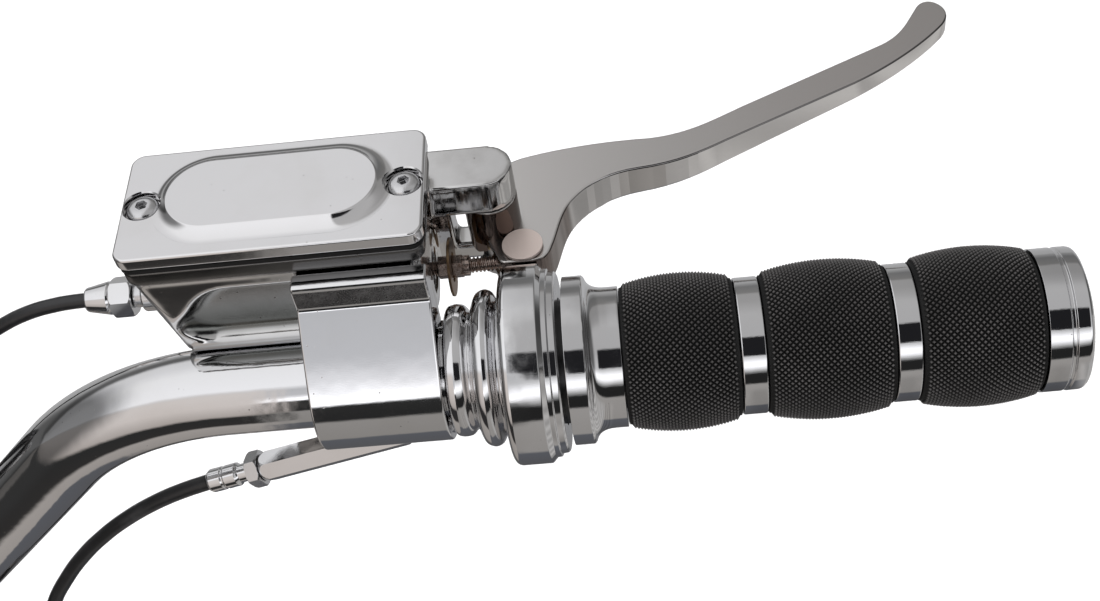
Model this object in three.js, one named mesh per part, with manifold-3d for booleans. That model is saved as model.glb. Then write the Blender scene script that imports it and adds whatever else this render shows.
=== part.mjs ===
// Hydraulic hand-lever control for the right end of a 1 inch motorcycle handlebar:
// lever and master cylinder, split clamp, throttle housing and twist grip, on their piece of bar.
// Millimetres. X runs along the bar towards its free end, Y points forward, away from the rider,
// and Z is square to the reservoir cover. The origin is on the bar's axis, in the middle of the clamp.

import * as THREE from "three";
import { mergeVertices } from "three/addons/utils/BufferGeometryUtils.js";
import Module from "manifold-3d";

const wasm = await Module();
wasm.setup();

// ---------------------------------------------------------------- driving dimensions
const GAP = 0.3;                 // left between pieces that touch
const RUNNING = 0.15;            // radial clearance where one piece turns or slides in another

const BAR_R = 12.7;              // 1 inch handlebar
const BAR_WALL = 2.5;
const BAR_TIP_X = 177;           // free end, inside the grip's end cap
const BEND_START_X = -45;
const BEND_R = 80;
const BEND_ANGLE = THREE.MathUtils.degToRad(46);
const BAR_TAIL = 84;             // straight length past the bend

const COVER_X = -22.4;           // centre of the reservoir cover
const COVER_Y = 25.9;
const COVER_LONG = 83;
const COVER_DEEP = 40;
const COVER_CORNER = 4;
const COVER_TOP_Z = 50.8;
const COVER_BOTTOM_Z = 46.6;
const BOSS_HEIGHT = 2.6;
const SCREW_SPREAD = 35.9;       // cover screws, either side of the cover's centre
const FLANGE_TOP_Z = 44.6;
const FLANGE_BOTTOM_Z = 40.2;

const BORE_Y = 36.6;             // master cylinder axis, parallel to the bar
const BORE_Z = 3;
const BORE_R = 8;
const BORE_BOTTOM_X = -48;
const CYLINDER_R = 12;
const CYLINDER_LEFT_X = -66;
const CYLINDER_MOUTH_X = 13.5;

const PIVOT_X = 32.3;            // lever pivot, parallel to Z
const PIVOT_Y = 48;
const PIN_R = 4;
const EAR_R = 8;
const EAR_TOP_Z = 32.4;
const EAR_BOTTOM_Z = 20.6;
const LOWER_EAR_R = 6.6;
const LOWER_EAR_TOP_Z = 1.6;
const LOWER_EAR_BOTTOM_Z = -5;
const YOKE_BACK_Y = 46.2;        // near side of the web between the ears

const LEVER_TOP_Z = 9;
const LEVER_BOTTOM_Z = -3;
const BARREL_X = 40.6;           // cross barrel that the pushrod screws into
const BARREL_R = 4.8;
const BARREL_HEAD_R = 6;
const ROD_R = 2.6;

const CLAMP_HALF = 18.2;         // half the clamp's length along the bar
const CLAMP_R = 19.2;
const CLAMP_FACE_Y = 0.6;        // upright face above the bar
const SPLIT_Z = -8.3;            // joint between clamp and body behind the bar
const CLAMP_SCREW_X = 10;
const CLAMP_SCREW_Y = 20.6;

const RING_R = 28;               // throttle housing's large ring
const SLEEVE_R = 14.6;           // throttle tube under the grip
const GRIP_BAND_R = 19.05;
const GRIP_END_X = 194.5;
const RUBBER_SPANS = [[67.6, 98.8], [106.2, 140.0], [147.1, 179.3]];
const RUBBER_R = 21.8;
const RUBBER_END_R = 19.4;

const CABLE_R = 2.5;             // throttle cable
const CABLE_Y = 3;
const CABLE_EXIT = new THREE.Vector3(19.3, CABLE_Y, -24.6);
const CABLE_SLOPE = THREE.MathUtils.degToRad(16);
const HOSE_R = 2.25;             // hydraulic line

// ---------------------------------------------------------------- finishes
const finish = (color, roughness, metalness) =>
  new THREE.MeshStandardMaterial({ color, roughness, metalness });
const CHROME = finish(0xcfd2d6, 0.08, 1);
const POLISHED = finish(0xb9b8b6, 0.25, 1);
const BILLET = finish(0xa9a8a6, 0.38, 1);
const STEEL = finish(0x9a9a9c, 0.3, 1);
const RUSTY = finish(0x7a5a48, 0.55, 0.8);
const BRONZE = finish(0xb08a5a, 0.4, 1);
const BLACK_RUBBER = finish(0x151515, 0.85, 0);
const BLACK_PLASTIC = finish(0x1b1b1c, 0.5, 0);

// ---------------------------------------------------------------- solids
const vec = (x, y, z) => new THREE.Vector3(x, y, z);

// A closed manifold solid from any closed three.js geometry.
function solid(geometry) {
  const bare = geometry.clone();
  bare.deleteAttribute("normal");
  bare.deleteAttribute("uv");
  const merged = mergeVertices(bare, 1e-4);
  const corners = merged.index.array;
  const kept = [];
  for (let i = 0; i < corners.length; i += 3) {
    const [a, b, c] = [corners[i], corners[i + 1], corners[i + 2]];
    if (a !== b && b !== c && c !== a) kept.push(a, b, c);
  }
  const build = (triangles) => new wasm.Manifold(new wasm.Mesh({
    numProp: 3,
    vertProperties: new Float32Array(merged.attributes.position.array),
    triVerts: new Uint32Array(triangles),
  }));
  const made = build(kept);
  if (made.volume() > 0) return made;
  return build(kept.reverse());
}

function geometryOf(body) {
  const mesh = body.getMesh();
  const geometry = new THREE.BufferGeometry();
  geometry.setAttribute("position", new THREE.BufferAttribute(mesh.vertProperties, 3));
  geometry.setIndex(new THREE.BufferAttribute(mesh.triVerts, 1));
  return geometry;
}

const join = (...bodies) => bodies.reduce((all, next) => all.add(next));
const cut = (body, ...tools) => tools.reduce((left, tool) => left.subtract(tool), body);

function box(x0, x1, y0, y1, z0, z1) {
  const geometry = new THREE.BoxGeometry(x1 - x0, y1 - y0, z1 - z0);
  geometry.translate((x0 + x1) / 2, (y0 + y1) / 2, (z0 + z1) / 2);
  return solid(geometry);
}

// Round bar between two heights on an upright axis at (x, y).
function postZ(x, y, radius, z0, z1, sides = 28) {
  const geometry = new THREE.CylinderGeometry(radius, radius, z1 - z0, sides);
  geometry.rotateX(Math.PI / 2).translate(x, y, (z0 + z1) / 2);
  return solid(geometry);
}

// Round bar between two stations on an axis along X at (y, z).
function rodX(x0, x1, radius, y = 0, z = 0, sides = 28) {
  const geometry = new THREE.CylinderGeometry(radius, radius, x1 - x0, sides);
  geometry.rotateZ(-Math.PI / 2).translate((x0 + x1) / 2, y, z);
  return solid(geometry);
}

// Turned shape about an axis along X at (y, z) from a closed or axis-to-axis list of [x, radius].
function turnedX(profile, y = 0, z = 0, sides = 24) {
  const points = profile.map(([x, radius]) => new THREE.Vector2(radius, x));
  if (profile[0][1] > 0) points.push(points[0].clone());
  const geometry = new THREE.LatheGeometry(points, sides);
  geometry.rotateZ(-Math.PI / 2).translate(0, y, z);
  return solid(geometry);
}

// The same about an upright axis at (x, y), from a list of [z, radius].
function turnedZ(profile, x, y, sides = 28) {
  const points = profile.map(([z, radius]) => new THREE.Vector2(radius, z));
  if (profile[0][1] > 0) points.push(points[0].clone());
  const geometry = new THREE.LatheGeometry(points, sides);
  geometry.rotateX(Math.PI / 2).translate(x, y, 0);
  return solid(geometry);
}

// Plate of a flat outline in XY between two heights.
function plateZ(outline, z0, z1, curveSegments = 8) {
  const geometry = new THREE.ExtrudeGeometry(outline, {
    depth: z1 - z0, bevelEnabled: false, curveSegments,
  });
  geometry.translate(0, 0, z0);
  return solid(geometry);
}

// Bar of an outline drawn in (y, z) between two stations along X.
function barX(outline, x0, x1, curveSegments = 10) {
  const geometry = new THREE.ExtrudeGeometry(outline, {
    depth: x1 - x0, bevelEnabled: false, curveSegments,
  });
  geometry.applyMatrix4(new THREE.Matrix4().makeBasis(vec(0, 1, 0), vec(0, 0, 1), vec(1, 0, 0)));
  geometry.translate(x0, 0, 0);
  return solid(geometry);
}

// Closed skin through a stack of outlines that have the same number of points.
function loft(levels) {
  const count = levels[0].points.length;
  const positions = levels.flatMap(({ points, z }) => points.flatMap((p) => [p.x, p.y, z]));
  const index = [];
  for (let k = 0; k + 1 < levels.length; k++) {
    for (let i = 0; i < count; i++) {
      const next = (i + 1) % count;
      const [a, b] = [k * count + i, k * count + next];
      index.push(a, b, b + count, a, b + count, a + count);
    }
  }
  const caps = THREE.ShapeUtils.triangulateShape(levels[0].points, []);
  const top = (levels.length - 1) * count;
  for (const [a, b, c] of caps) {
    index.push(c, b, a, top + a, top + b, top + c);
  }
  const geometry = new THREE.BufferGeometry();
  geometry.setAttribute("position", new THREE.Float32BufferAttribute(positions, 3));
  geometry.setIndex(index);
  return solid(geometry);
}

// Points of a rectangle with round corners, centred at (x, y).
function roundedRectangle(x, y, long, deep, corner, perCorner = 5) {
  const points = [];
  const [halfX, halfY] = [long / 2 - corner, deep / 2 - corner];
  const centres = [[halfX, halfY], [-halfX, halfY], [-halfX, -halfY], [halfX, -halfY]];
  centres.forEach(([cx, cy], quarter) => {
    for (let i = 0; i <= perCorner; i++) {
      const angle = (quarter + i / perCorner) * Math.PI / 2;
      points.push(new THREE.Vector2(
        x + cx + corner * Math.cos(angle), y + cy + corner * Math.sin(angle)));
    }
  });
  return points;
}

// Hexagonal socket or bar about an upright axis.
function hexZ(x, y, acrossFlats, z0, z1) {
  return postZ(x, y, acrossFlats / Math.sqrt(3), z0, z1, 6);
}

// ---------------------------------------------------------------- group
const control = new THREE.Group();
control.name = "hand_control";

function add(name, body, material, parent = control) {
  const mesh = new THREE.Mesh(geometryOf(body), material);
  mesh.name = name;
  parent.add(mesh);
  return mesh;
}

// ---------------------------------------------------------------- handlebar
// Straight through the clamp and grip, then bent down towards the steering head.
function handlebar() {
  const path = new THREE.CurvePath();
  const start = vec(BAR_TIP_X, 0, 0);
  const bend = vec(BEND_START_X, 0, 0);
  path.add(new THREE.LineCurve3(start, bend));
  const arcPoint = (angle) =>
    vec(BEND_START_X - BEND_R * Math.sin(angle), 0, BEND_R * (Math.cos(angle) - 1));
  const arcSteps = 6;
  for (let i = 0; i < arcSteps; i++) {
    path.add(new THREE.LineCurve3(
      arcPoint(BEND_ANGLE * i / arcSteps), arcPoint(BEND_ANGLE * (i + 1) / arcSteps)));
  }
  const arcEnd = arcPoint(BEND_ANGLE);
  const tail = vec(-Math.cos(BEND_ANGLE), 0, -Math.sin(BEND_ANGLE)).multiplyScalar(BAR_TAIL);
  path.add(new THREE.LineCurve3(arcEnd, arcEnd.clone().add(tail)));

  const section = new THREE.Shape();
  section.absarc(0, 0, BAR_R, 0, 2 * Math.PI);
  const hollow = new THREE.Path();
  hollow.absarc(0, 0, BAR_R - BAR_WALL, 0, 2 * Math.PI, true);
  section.holes.push(hollow);
  return solid(new THREE.ExtrudeGeometry(section, {
    steps: 24, curveSegments: 9, extrudePath: path, bevelEnabled: false,
  }));
}

// ---------------------------------------------------------------- master cylinder
// Outline of a yoke ear: a neck from the body, round about the pivot.
function earOutline(radius, nearY) {
  const neckX = 12;
  const start = Math.asin((nearY - PIVOT_Y) / radius);
  const outline = new THREE.Shape();
  outline.moveTo(neckX, nearY);
  outline.lineTo(PIVOT_X - radius * Math.cos(start), nearY);
  outline.absarc(PIVOT_X, PIVOT_Y, radius, Math.PI - start, Math.PI / 2);
  outline.lineTo(neckX, PIVOT_Y + radius);
  return outline;
}

function masterCylinderBody() {
  const wallY = COVER_Y - COVER_DEEP / 2 + 0.9;
  const rearY = COVER_Y + COVER_DEEP / 2 - 1;
  const flange = loft([
    { z: FLANGE_BOTTOM_Z - 1.2, points: roundedRectangle(COVER_X, COVER_Y, 78, 36, 3) },
    { z: FLANGE_BOTTOM_Z, points: roundedRectangle(COVER_X, COVER_Y, 81.6, 38.8, 3.4) },
    { z: FLANGE_TOP_Z, points: roundedRectangle(COVER_X, COVER_Y, 81.6, 38.8, 3.4) },
  ]);
  const middleY = (wallY + rearY) / 2;
  const deep = rearY - wallY;
  const tank = loft([
    { z: 6, points: roundedRectangle(-20.3, middleY, 68, deep, 3) },
    { z: FLANGE_BOTTOM_Z, points: roundedRectangle(-22.6, middleY, 79, deep, 3) },
  ]);
  const cylinder = rodX(CYLINDER_LEFT_X, CYLINDER_MOUTH_X, CYLINDER_R, BORE_Y, BORE_Z);
  const saddle = box(-53, CLAMP_HALF - 4, 5.2, 30, -2, 13);
  const lug = box(-CLAMP_HALF, CLAMP_HALF - 4, 12, 26.5, SPLIT_Z, 6);
  const yokeBack = box(2, 20, YOKE_BACK_Y, PIVOT_Y + EAR_R, LOWER_EAR_BOTTOM_Z, EAR_TOP_Z);
  const ears = join(
    plateZ(earOutline(EAR_R, PIVOT_Y - EAR_R + 0.01), EAR_BOTTOM_Z, EAR_TOP_Z, 14),
    plateZ(earOutline(LOWER_EAR_R, YOKE_BACK_Y), LOWER_EAR_BOTTOM_Z, LOWER_EAR_TOP_Z, 14));

  const scoop = loft([
    { z: 0, points: scoopOutline(1) },
    { z: 3.4, points: scoopOutline(0.8) },
  ]);
  const standUp = new THREE.Matrix4()
    .makeBasis(vec(1, 0, 0), vec(0, 0, 1), vec(0, 1, 0))
    .setPosition(0, wallY - 0.2, 0);
  const placedScoop = solid(geometryOf(scoop).applyMatrix4(standUp));

  const tankHollow = loft([
    { z: 17, points: roundedRectangle(COVER_X, COVER_Y + 1, 52, 24, 4) },
    { z: FLANGE_TOP_Z + 1, points: roundedRectangle(COVER_X, COVER_Y + 1, 58, 27, 5) },
  ]);
  const screwHoles = [-1, 1].map((side) =>
    postZ(COVER_X + side * SCREW_SPREAD, COVER_Y, 2.3, 31, FLANGE_TOP_Z + 1, 16));
  const clampHoles = [-1, 1].map((side) =>
    postZ(side * CLAMP_SCREW_X, CLAMP_SCREW_Y, 3, SPLIT_Z - 1, 5, 16));
  return cut(
    join(flange, tank, cylinder, saddle, lug, yokeBack, ears),
    placedScoop,
    tankHollow,
    ...screwHoles,
    ...clampHoles,
    rodX(-56, CLAMP_HALF, BAR_R + GAP),
    rodX(BORE_BOTTOM_X, CYLINDER_MOUTH_X + 1, BORE_R, BORE_Y, BORE_Z),
    rodX(CYLINDER_LEFT_X - 1, BORE_BOTTOM_X + 1, 2.3, BORE_Y, BORE_Z, 16),
    rodX(CYLINDER_MOUTH_X - 2.6, CYLINDER_MOUTH_X - 1.2, BORE_R + 0.8, BORE_Y, BORE_Z),
    postZ(-28, BORE_Y, 1.2, 8, 20, 12),
    postZ(PIVOT_X, PIVOT_Y, PIN_R + RUNNING, LOWER_EAR_BOTTOM_Z - 1, 29.6));
}

// Long recess in the front wall, pointed towards the bar's bend.
function scoopOutline(share) {
  const middle = new THREE.Vector2(-36, 25);
  const corners = [[-55, 19.5], [-46, 14.2], [-16, 14.2], [-16, 35.2], [-38, 35.2], [-47, 30.5]];
  return corners.map(([x, z]) => new THREE.Vector2(
    middle.x + (x - middle.x) * share, middle.y + (z - middle.y) * share));
}

// ---------------------------------------------------------------- clamp
function handlebarClamp() {
  const outline = new THREE.Shape();
  outline.moveTo(6.1, 39.4);
  outline.lineTo(CLAMP_FACE_Y + 1.6, 39.4);
  outline.lineTo(CLAMP_FACE_Y, 37.8);
  outline.lineTo(CLAMP_FACE_Y, 31);
  const shoulder = THREE.MathUtils.degToRad(138);
  outline.absarc(0, 0, CLAMP_R, shoulder, THREE.MathUtils.degToRad(278));
  outline.lineTo(24.5, -CLAMP_R);
  outline.lineTo(26.5, -CLAMP_R + 2);
  outline.lineTo(26.5, SPLIT_Z - GAP);
  outline.lineTo(4.9, SPLIT_Z - GAP);
  outline.lineTo(4.9, 13.4);
  outline.lineTo(6.1, 13.4);
  const blank = barX(outline, -CLAMP_HALF, CLAMP_HALF);
  const screwRooms = [-1, 1].flatMap((side) => [
    postZ(side * CLAMP_SCREW_X, CLAMP_SCREW_Y, 4.9, -CLAMP_R - 1, -14.4, 20),
    postZ(side * CLAMP_SCREW_X, CLAMP_SCREW_Y, 3, -CLAMP_R - 1, SPLIT_Z, 16),
  ]);
  return cut(blank, rodX(-CLAMP_HALF - 1, CLAMP_HALF + 1, BAR_R + GAP), ...screwRooms);
}

// Socket head cap screw that points up.
function capScrew(x, y, headZ, headR, headHigh, shankR, topZ, hex) {
  const blank = turnedZ([
    [headZ, 0], [headZ, headR - 0.4], [headZ + 0.4, headR], [headZ + headHigh, headR],
    [headZ + headHigh, shankR], [topZ - 0.6, shankR], [topZ, shankR - 0.6], [topZ, 0],
  ], x, y, 20);
  return cut(blank, hexZ(x, y, hex, headZ - 1, headZ + headHigh * 0.6));
}

// ---------------------------------------------------------------- reservoir top
function stadium(long, deep, z) {
  return { z, points: roundedRectangle(COVER_X, COVER_Y + 0.6, long, deep, deep / 2 - 0.01, 8) };
}

function reservoirCover() {
  const rim = 0.8;
  const outline = (inset) => roundedRectangle(
    COVER_X, COVER_Y, COVER_LONG - 2 * inset, COVER_DEEP - 2 * inset, COVER_CORNER - inset);
  const plate = loft([
    { z: COVER_BOTTOM_Z, points: outline(0) },
    { z: COVER_TOP_Z - rim, points: outline(0) },
    { z: COVER_TOP_Z, points: outline(rim) },
  ]);
  const boss = loft([
    stadium(67, 34, COVER_TOP_Z - 0.5),
    stadium(65.4, 32.4, COVER_TOP_Z + 0.2),
    stadium(61.5, 28.5, COVER_TOP_Z + 0.9),
    stadium(59.2, 26.2, COVER_TOP_Z + 2),
    stadium(58.4, 25.4, COVER_TOP_Z + BOSS_HEIGHT),
  ]);
  const rooms = [-1, 1].flatMap((side) => {
    const x = COVER_X + side * SCREW_SPREAD;
    return [
      postZ(x, COVER_Y, 5.2, COVER_TOP_Z - 2.6, COVER_TOP_Z + 5, 24),
      postZ(x, COVER_Y, 2.4, COVER_BOTTOM_Z - 1, COVER_TOP_Z, 16),
    ];
  });
  return cut(join(plate, boss), ...rooms);
}

// Button head screw that points down into the body.
function buttonScrew(x) {
  const seat = COVER_TOP_Z - 2.6 + GAP;
  const blank = turnedZ([
    [34, 0], [34, 1.6], [34.5, 2.1], [seat, 2.1], [seat, 4.6], [seat + 1, 4.4],
    [seat + 2, 3.5], [seat + 2.6, 2.2], [seat + 2.6, 0],
  ], x, COVER_Y, 20);
  return cut(blank, hexZ(x, COVER_Y, 2.6, seat + 0.8, seat + 4));
}

// Flat seal with a bellows that hangs into the fluid.
function diaphragm() {
  const plate = loft([FLANGE_TOP_Z + GAP, COVER_BOTTOM_Z - GAP].map((z) => (
    { z, points: roundedRectangle(COVER_X, COVER_Y, 82, 39.2, 3.6) })));
  const bellows = loft([
    { z: 36, points: roundedRectangle(COVER_X, COVER_Y + 1, 47, 16, 5) },
    { z: FLANGE_TOP_Z + 1, points: roundedRectangle(COVER_X, COVER_Y + 1, 52, 21, 5) },
  ]);
  const holes = [-1, 1].map((side) =>
    postZ(COVER_X + side * SCREW_SPREAD, COVER_Y, 2.4, FLANGE_TOP_Z, COVER_BOTTOM_Z, 16));
  const inside = loft([
    { z: 38, points: roundedRectangle(COVER_X, COVER_Y + 1, 44, 13, 4) },
    { z: COVER_BOTTOM_Z, points: roundedRectangle(COVER_X, COVER_Y + 1, 49, 18, 4) },
  ]);
  return cut(join(plate, bellows), inside, ...holes);
}

// ---------------------------------------------------------------- bore parts
const PISTON_REAR_X = 8.6;
const PISTON_FRONT_X = -20;
const PISTON_STROKE = 3.5;

function piston() {
  const face = BORE_R - RUNNING;
  return turnedX([
    [PISTON_FRONT_X, 0], [PISTON_FRONT_X, 4], [PISTON_FRONT_X + 3.4, 4], [PISTON_FRONT_X + 3.4, face],
    [PISTON_FRONT_X + 6, face], [PISTON_FRONT_X + 6, 5], [-0.6, 5], [-0.6, face], [1.4, face],
    [1.4, 5.8], [4.2, 5.8], [4.2, face], [PISTON_REAR_X - 0.6, face], [PISTON_REAR_X, face - 0.6],
    [PISTON_REAR_X, 4.6], [PISTON_REAR_X - 4.5, 4.2], [PISTON_REAR_X - 5.4, 2.6], [PISTON_REAR_X - 5.4, 0],
  ], BORE_Y, BORE_Z, 24);
}

function primaryCup() {
  const x = PISTON_FRONT_X - GAP + 0.6;
  return turnedX([
    [x, 4.3], [x + 2.4, 4.3], [x + 2.4, 7.5], [x - 1, BORE_R - 0.1], [x - 1.6, 7], [x, 6.2],
  ], BORE_Y, BORE_Z, 20);
}

function secondarySeal() {
  return turnedX([[1.7, 6.1], [3.9, 6.1], [3.9, 7.4], [2.8, BORE_R - 0.1], [1.7, 7.4]], BORE_Y, BORE_Z, 20);
}

function returnSpring() {
  const first = BORE_BOTTOM_X + PISTON_STROKE + GAP + 0.6;
  const last = PISTON_FRONT_X - 3.2;
  const turns = 7;
  class Coil extends THREE.Curve {
    getPoint(t) {
      const angle = 2 * Math.PI * turns * t;
      return vec(first + (last - first) * t,
        BORE_Y + 5.6 * Math.cos(angle), BORE_Z + 5.6 * Math.sin(angle));
    }
  }
  const wire = new THREE.Shape();
  wire.absarc(0, 0, 0.6, 0, 2 * Math.PI);
  return solid(new THREE.ExtrudeGeometry(wire, {
    steps: turns * 9, curveSegments: 3, extrudePath: new Coil(), bevelEnabled: false,
  }));
}

// ---------------------------------------------------------------- lever
// Plan view: broad plate round the pivot, finger blade, turned-up tip.
function leverOutline() {
  const outline = new THREE.Shape();
  outline.moveTo(35.4, 30.9);
  outline.lineTo(43.5, 30.9);
  outline.quadraticCurveTo(48, 31.2, 49.2, 36);
  outline.bezierCurveTo(51.4, 42, 51.8, 48.6, 56, 54);
  outline.bezierCurveTo(61, 60.6, 67.5, 63.8, 76, 64.5);
  outline.bezierCurveTo(88, 65.2, 96, 69.2, 103, 72.7);
  outline.lineTo(145, 92.5);
  outline.bezierCurveTo(158, 99, 170, 108.5, 176.6, 116);
  outline.bezierCurveTo(180, 120.4, 179.4, 124.4, 176.6, 127);
  outline.bezierCurveTo(174.4, 129, 171.8, 128.4, 170.2, 126.2);
  outline.bezierCurveTo(166, 119.6, 163.6, 113.4, 156, 109.4);
  outline.lineTo(109, 87);
  outline.bezierCurveTo(99.5, 82.2, 92, 77.6, 80, 77.2);
  outline.bezierCurveTo(66, 77.8, 52, 76.4, 41, 73.8);
  outline.bezierCurveTo(31, 71, 25.4, 62, PIVOT_X - EAR_R, 54);
  outline.lineTo(PIVOT_X - EAR_R, PIVOT_Y);
  outline.lineTo(30.2, 40);
  outline.lineTo(33.4, 32);
  outline.quadraticCurveTo(34, 30.9, 35.4, 30.9);
  return outline;
}

function clutchLever() {
  const plan = plateZ(leverOutline(), LEVER_BOTTOM_Z, LEVER_TOP_Z, 6);
  const side = new THREE.Shape();
  side.moveTo(20, LEVER_BOTTOM_Z - 1);
  side.lineTo(20, LEVER_TOP_Z + 1);
  side.lineTo(182, LEVER_TOP_Z + 1);
  side.lineTo(182, 3);
  side.lineTo(150, 2);
  side.lineTo(100, -0.6);
  side.lineTo(66, -2.6);
  side.lineTo(60, LEVER_BOTTOM_Z - 1);
  const sideView = new THREE.ExtrudeGeometry(side, { depth: 130, bevelEnabled: false });
  sideView.rotateX(Math.PI / 2).translate(0, 150, 0);
  const blade = plan.intersect(solid(sideView));
  const hub = postZ(PIVOT_X, PIVOT_Y, EAR_R, LOWER_EAR_TOP_Z + GAP, EAR_BOTTOM_Z - GAP);
  return cut(
    join(blade, hub),
    postZ(PIVOT_X, PIVOT_Y, LOWER_EAR_R + 0.5, LEVER_BOTTOM_Z - 1, LOWER_EAR_TOP_Z + GAP),
    box(20, 30.8, 42, 58, LEVER_BOTTOM_Z - 1, LOWER_EAR_TOP_Z + GAP),
    box(26, 37.4, 28, 42.6, BORE_Z - 3.7, BORE_Z + 3.7),
    postZ(BARREL_X, BORE_Y, BARREL_R + GAP, LEVER_BOTTOM_Z - 1, LEVER_TOP_Z + 1, 24),
    postZ(PIVOT_X, PIVOT_Y, 6.1, LOWER_EAR_TOP_Z, EAR_BOTTOM_Z));
}

function pivotBushing() {
  return cut(
    postZ(PIVOT_X, PIVOT_Y, 5.8, LOWER_EAR_TOP_Z + 0.6, EAR_BOTTOM_Z - 0.6),
    postZ(PIVOT_X, PIVOT_Y, PIN_R + RUNNING, 0, EAR_BOTTOM_Z));
}

function pivotScrew() {
  const head = LOWER_EAR_BOTTOM_Z - GAP;
  const blank = turnedZ([
    [head - 3.4, 0], [head - 3.4, 5.6], [head - 3, 6], [head, 6], [head, PIN_R],
    [28.6, PIN_R], [29.2, PIN_R - 0.6], [29.2, 0],
  ], PIVOT_X, PIVOT_Y);
  return cut(blank, hexZ(PIVOT_X, PIVOT_Y, 5, head - 5, head - 1));
}

// ---------------------------------------------------------------- pushrod
function crossBarrel() {
  const body = join(
    postZ(BARREL_X, BORE_Y, BARREL_R, LEVER_BOTTOM_Z + 0.2, LEVER_TOP_Z + 0.9, 24),
    postZ(BARREL_X, BORE_Y, BARREL_HEAD_R, LEVER_TOP_Z + GAP, LEVER_TOP_Z + 1.3, 28));
  return cut(body, rodX(BARREL_X - 8, BARREL_X + 3.4, ROD_R + GAP, BORE_Y, BORE_Z, 20));
}

function pushrod() {
  const tip = PISTON_REAR_X - 5;
  return turnedX([
    [tip, 0], [tip + 0.4, 1.4], [tip + 1.4, 2.3], [tip + 2.6, ROD_R],
    [BARREL_X + 3, ROD_R], [BARREL_X + 3, 0],
  ], BORE_Y, BORE_Z, 20);
}

function rodAdjuster() {
  const hex = new THREE.CylinderGeometry(4.1, 4.1, 9.4, 6);
  hex.rotateZ(-Math.PI / 2).translate(19.5, BORE_Y, BORE_Z);
  return cut(solid(hex), rodX(10, 30, ROD_R + GAP, BORE_Y, BORE_Z, 20));
}

// ---------------------------------------------------------------- throttle housing
function throttleHousing() {
  const beads = turnedX([
    [18.8, BAR_R + GAP], [18.8, 15], [19, 16.8], [19.7, 18.1], [21, 18.6], [23.8, 18.4], [24.8, 17.4],
    [25.7, 16.3], [26.7, 19], [27.7, 21.1], [29.2, 22], [30.6, 22.1], [32, 21.3], [33.2, 19.2],
    [34.6, 18.8], [34.6, BAR_R + GAP],
  ]);
  const socket = rodX(0, 15.4, 5.6, 0, 0, 20);
  const hole = rodX(-1, 13, 1.6, 0, 0, 12);
  const swing = new THREE.Matrix4()
    .makeRotationY(-CABLE_SLOPE)
    .setPosition(CABLE_EXIT.x + GAP, CABLE_EXIT.y, CABLE_EXIT.z);
  const place = (body) => solid(geometryOf(body).applyMatrix4(swing));
  return cut(
    join(beads, cut(place(socket), rodX(34.6, 60, 40))),
    place(hole),
    rodX(10, 40, BAR_R + GAP));
}

function throttleRing() {
  return turnedX([
    [34.9, BAR_R + GAP], [34.9, 24], [35.1, 26.2], [35.7, 27.4], [37, RING_R], [45.4, RING_R], [46.8, 26.4],
    [48.2, 26.2], [48.8, 25.4], [50.2, 25.2], [50.6, 24.6], [50.6, SLEEVE_R + 3.3], [48.6, SLEEVE_R + 3.3],
    [48.6, 22.4], [37.4, 22.4], [37.4, BAR_R + GAP],
  ], 0, 0, 32);
}

// ---------------------------------------------------------------- twist grip
function throttleTube() {
  return turnedX([
    [37.8, BAR_R + RUNNING], [37.8, 21.4], [47.8, 21.4], [47.8, SLEEVE_R + 2.8], [51.8, SLEEVE_R + 2.8],
    [51.8, SLEEVE_R], [178.6, SLEEVE_R], [178.6, BAR_R + RUNNING],
  ]);
}

function gripCollar() {
  const inner = SLEEVE_R + GAP;
  return turnedX([
    [52.2, inner], [52.2, 22.9], [52.8, 23.6], [57.4, 23.6], [58.1, 23], [58.8, 21.6], [60, 20.5],
    [62, 19.8], [67.3, 19.7], [67.3, inner],
  ]);
}

function gripRubber([x0, x1]) {
  const inner = SLEEVE_R + GAP;
  const profile = [[x0, inner]];
  const steps = 6;
  for (let i = 0; i <= steps; i++) {
    const bulge = Math.sin(Math.PI * i / steps) ** 0.75;
    profile.push([x0 + (x1 - x0) * i / steps, RUBBER_END_R + (RUBBER_R - RUBBER_END_R) * bulge]);
  }
  profile.push([x1, inner]);
  return turnedX(profile);
}

function gripBand(x0, x1) {
  const inner = SLEEVE_R + GAP;
  return turnedX([
    [x0, inner], [x0, GRIP_BAND_R - 0.4], [x0 + 0.4, GRIP_BAND_R], [x1 - 0.4, GRIP_BAND_R],
    [x1, GRIP_BAND_R - 0.4], [x1, inner],
  ]);
}

function gripEndCap() {
  const x0 = 179.6;
  return turnedX([
    [x0, 11], [x0, 19.4], [x0 + 0.4, 19.7], [185.4, 19.7], [185.8, 19.2], [186.4, 19.2], [186.8, 19.7],
    [190, 19.6], [191.4, 18.8], [192.6, 14], [193.8, 7], [GRIP_END_X, 0], [184, 0], [184, 11],
  ]);
}

// ---------------------------------------------------------------- throttle cable
// Fittings in line with the cable's exit, drawn along +X from the exit and swung into place.
const cableLine = new THREE.Group();
cableLine.position.copy(CABLE_EXIT);
cableLine.rotation.y = Math.PI - CABLE_SLOPE;

const hollowX = (x0, x1, outer, inner, sides = 20) =>
  cut(rodX(x0, x1, outer, 0, 0, sides), rodX(x0 - 1, x1 + 1, inner, 0, 0, 12));

const GUIDE_LONG = 18;
const ADJUSTER_LONG = 50;
const NUT_LONG = 4;
const FERRULE_LONG = 14.6;
const adjusterStart = GUIDE_LONG + GAP;
const nutStart = adjusterStart + ADJUSTER_LONG + GAP;
const ferruleStart = nutStart + NUT_LONG + GAP;
const cableStart = ferruleStart + FERRULE_LONG + GAP;

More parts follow.
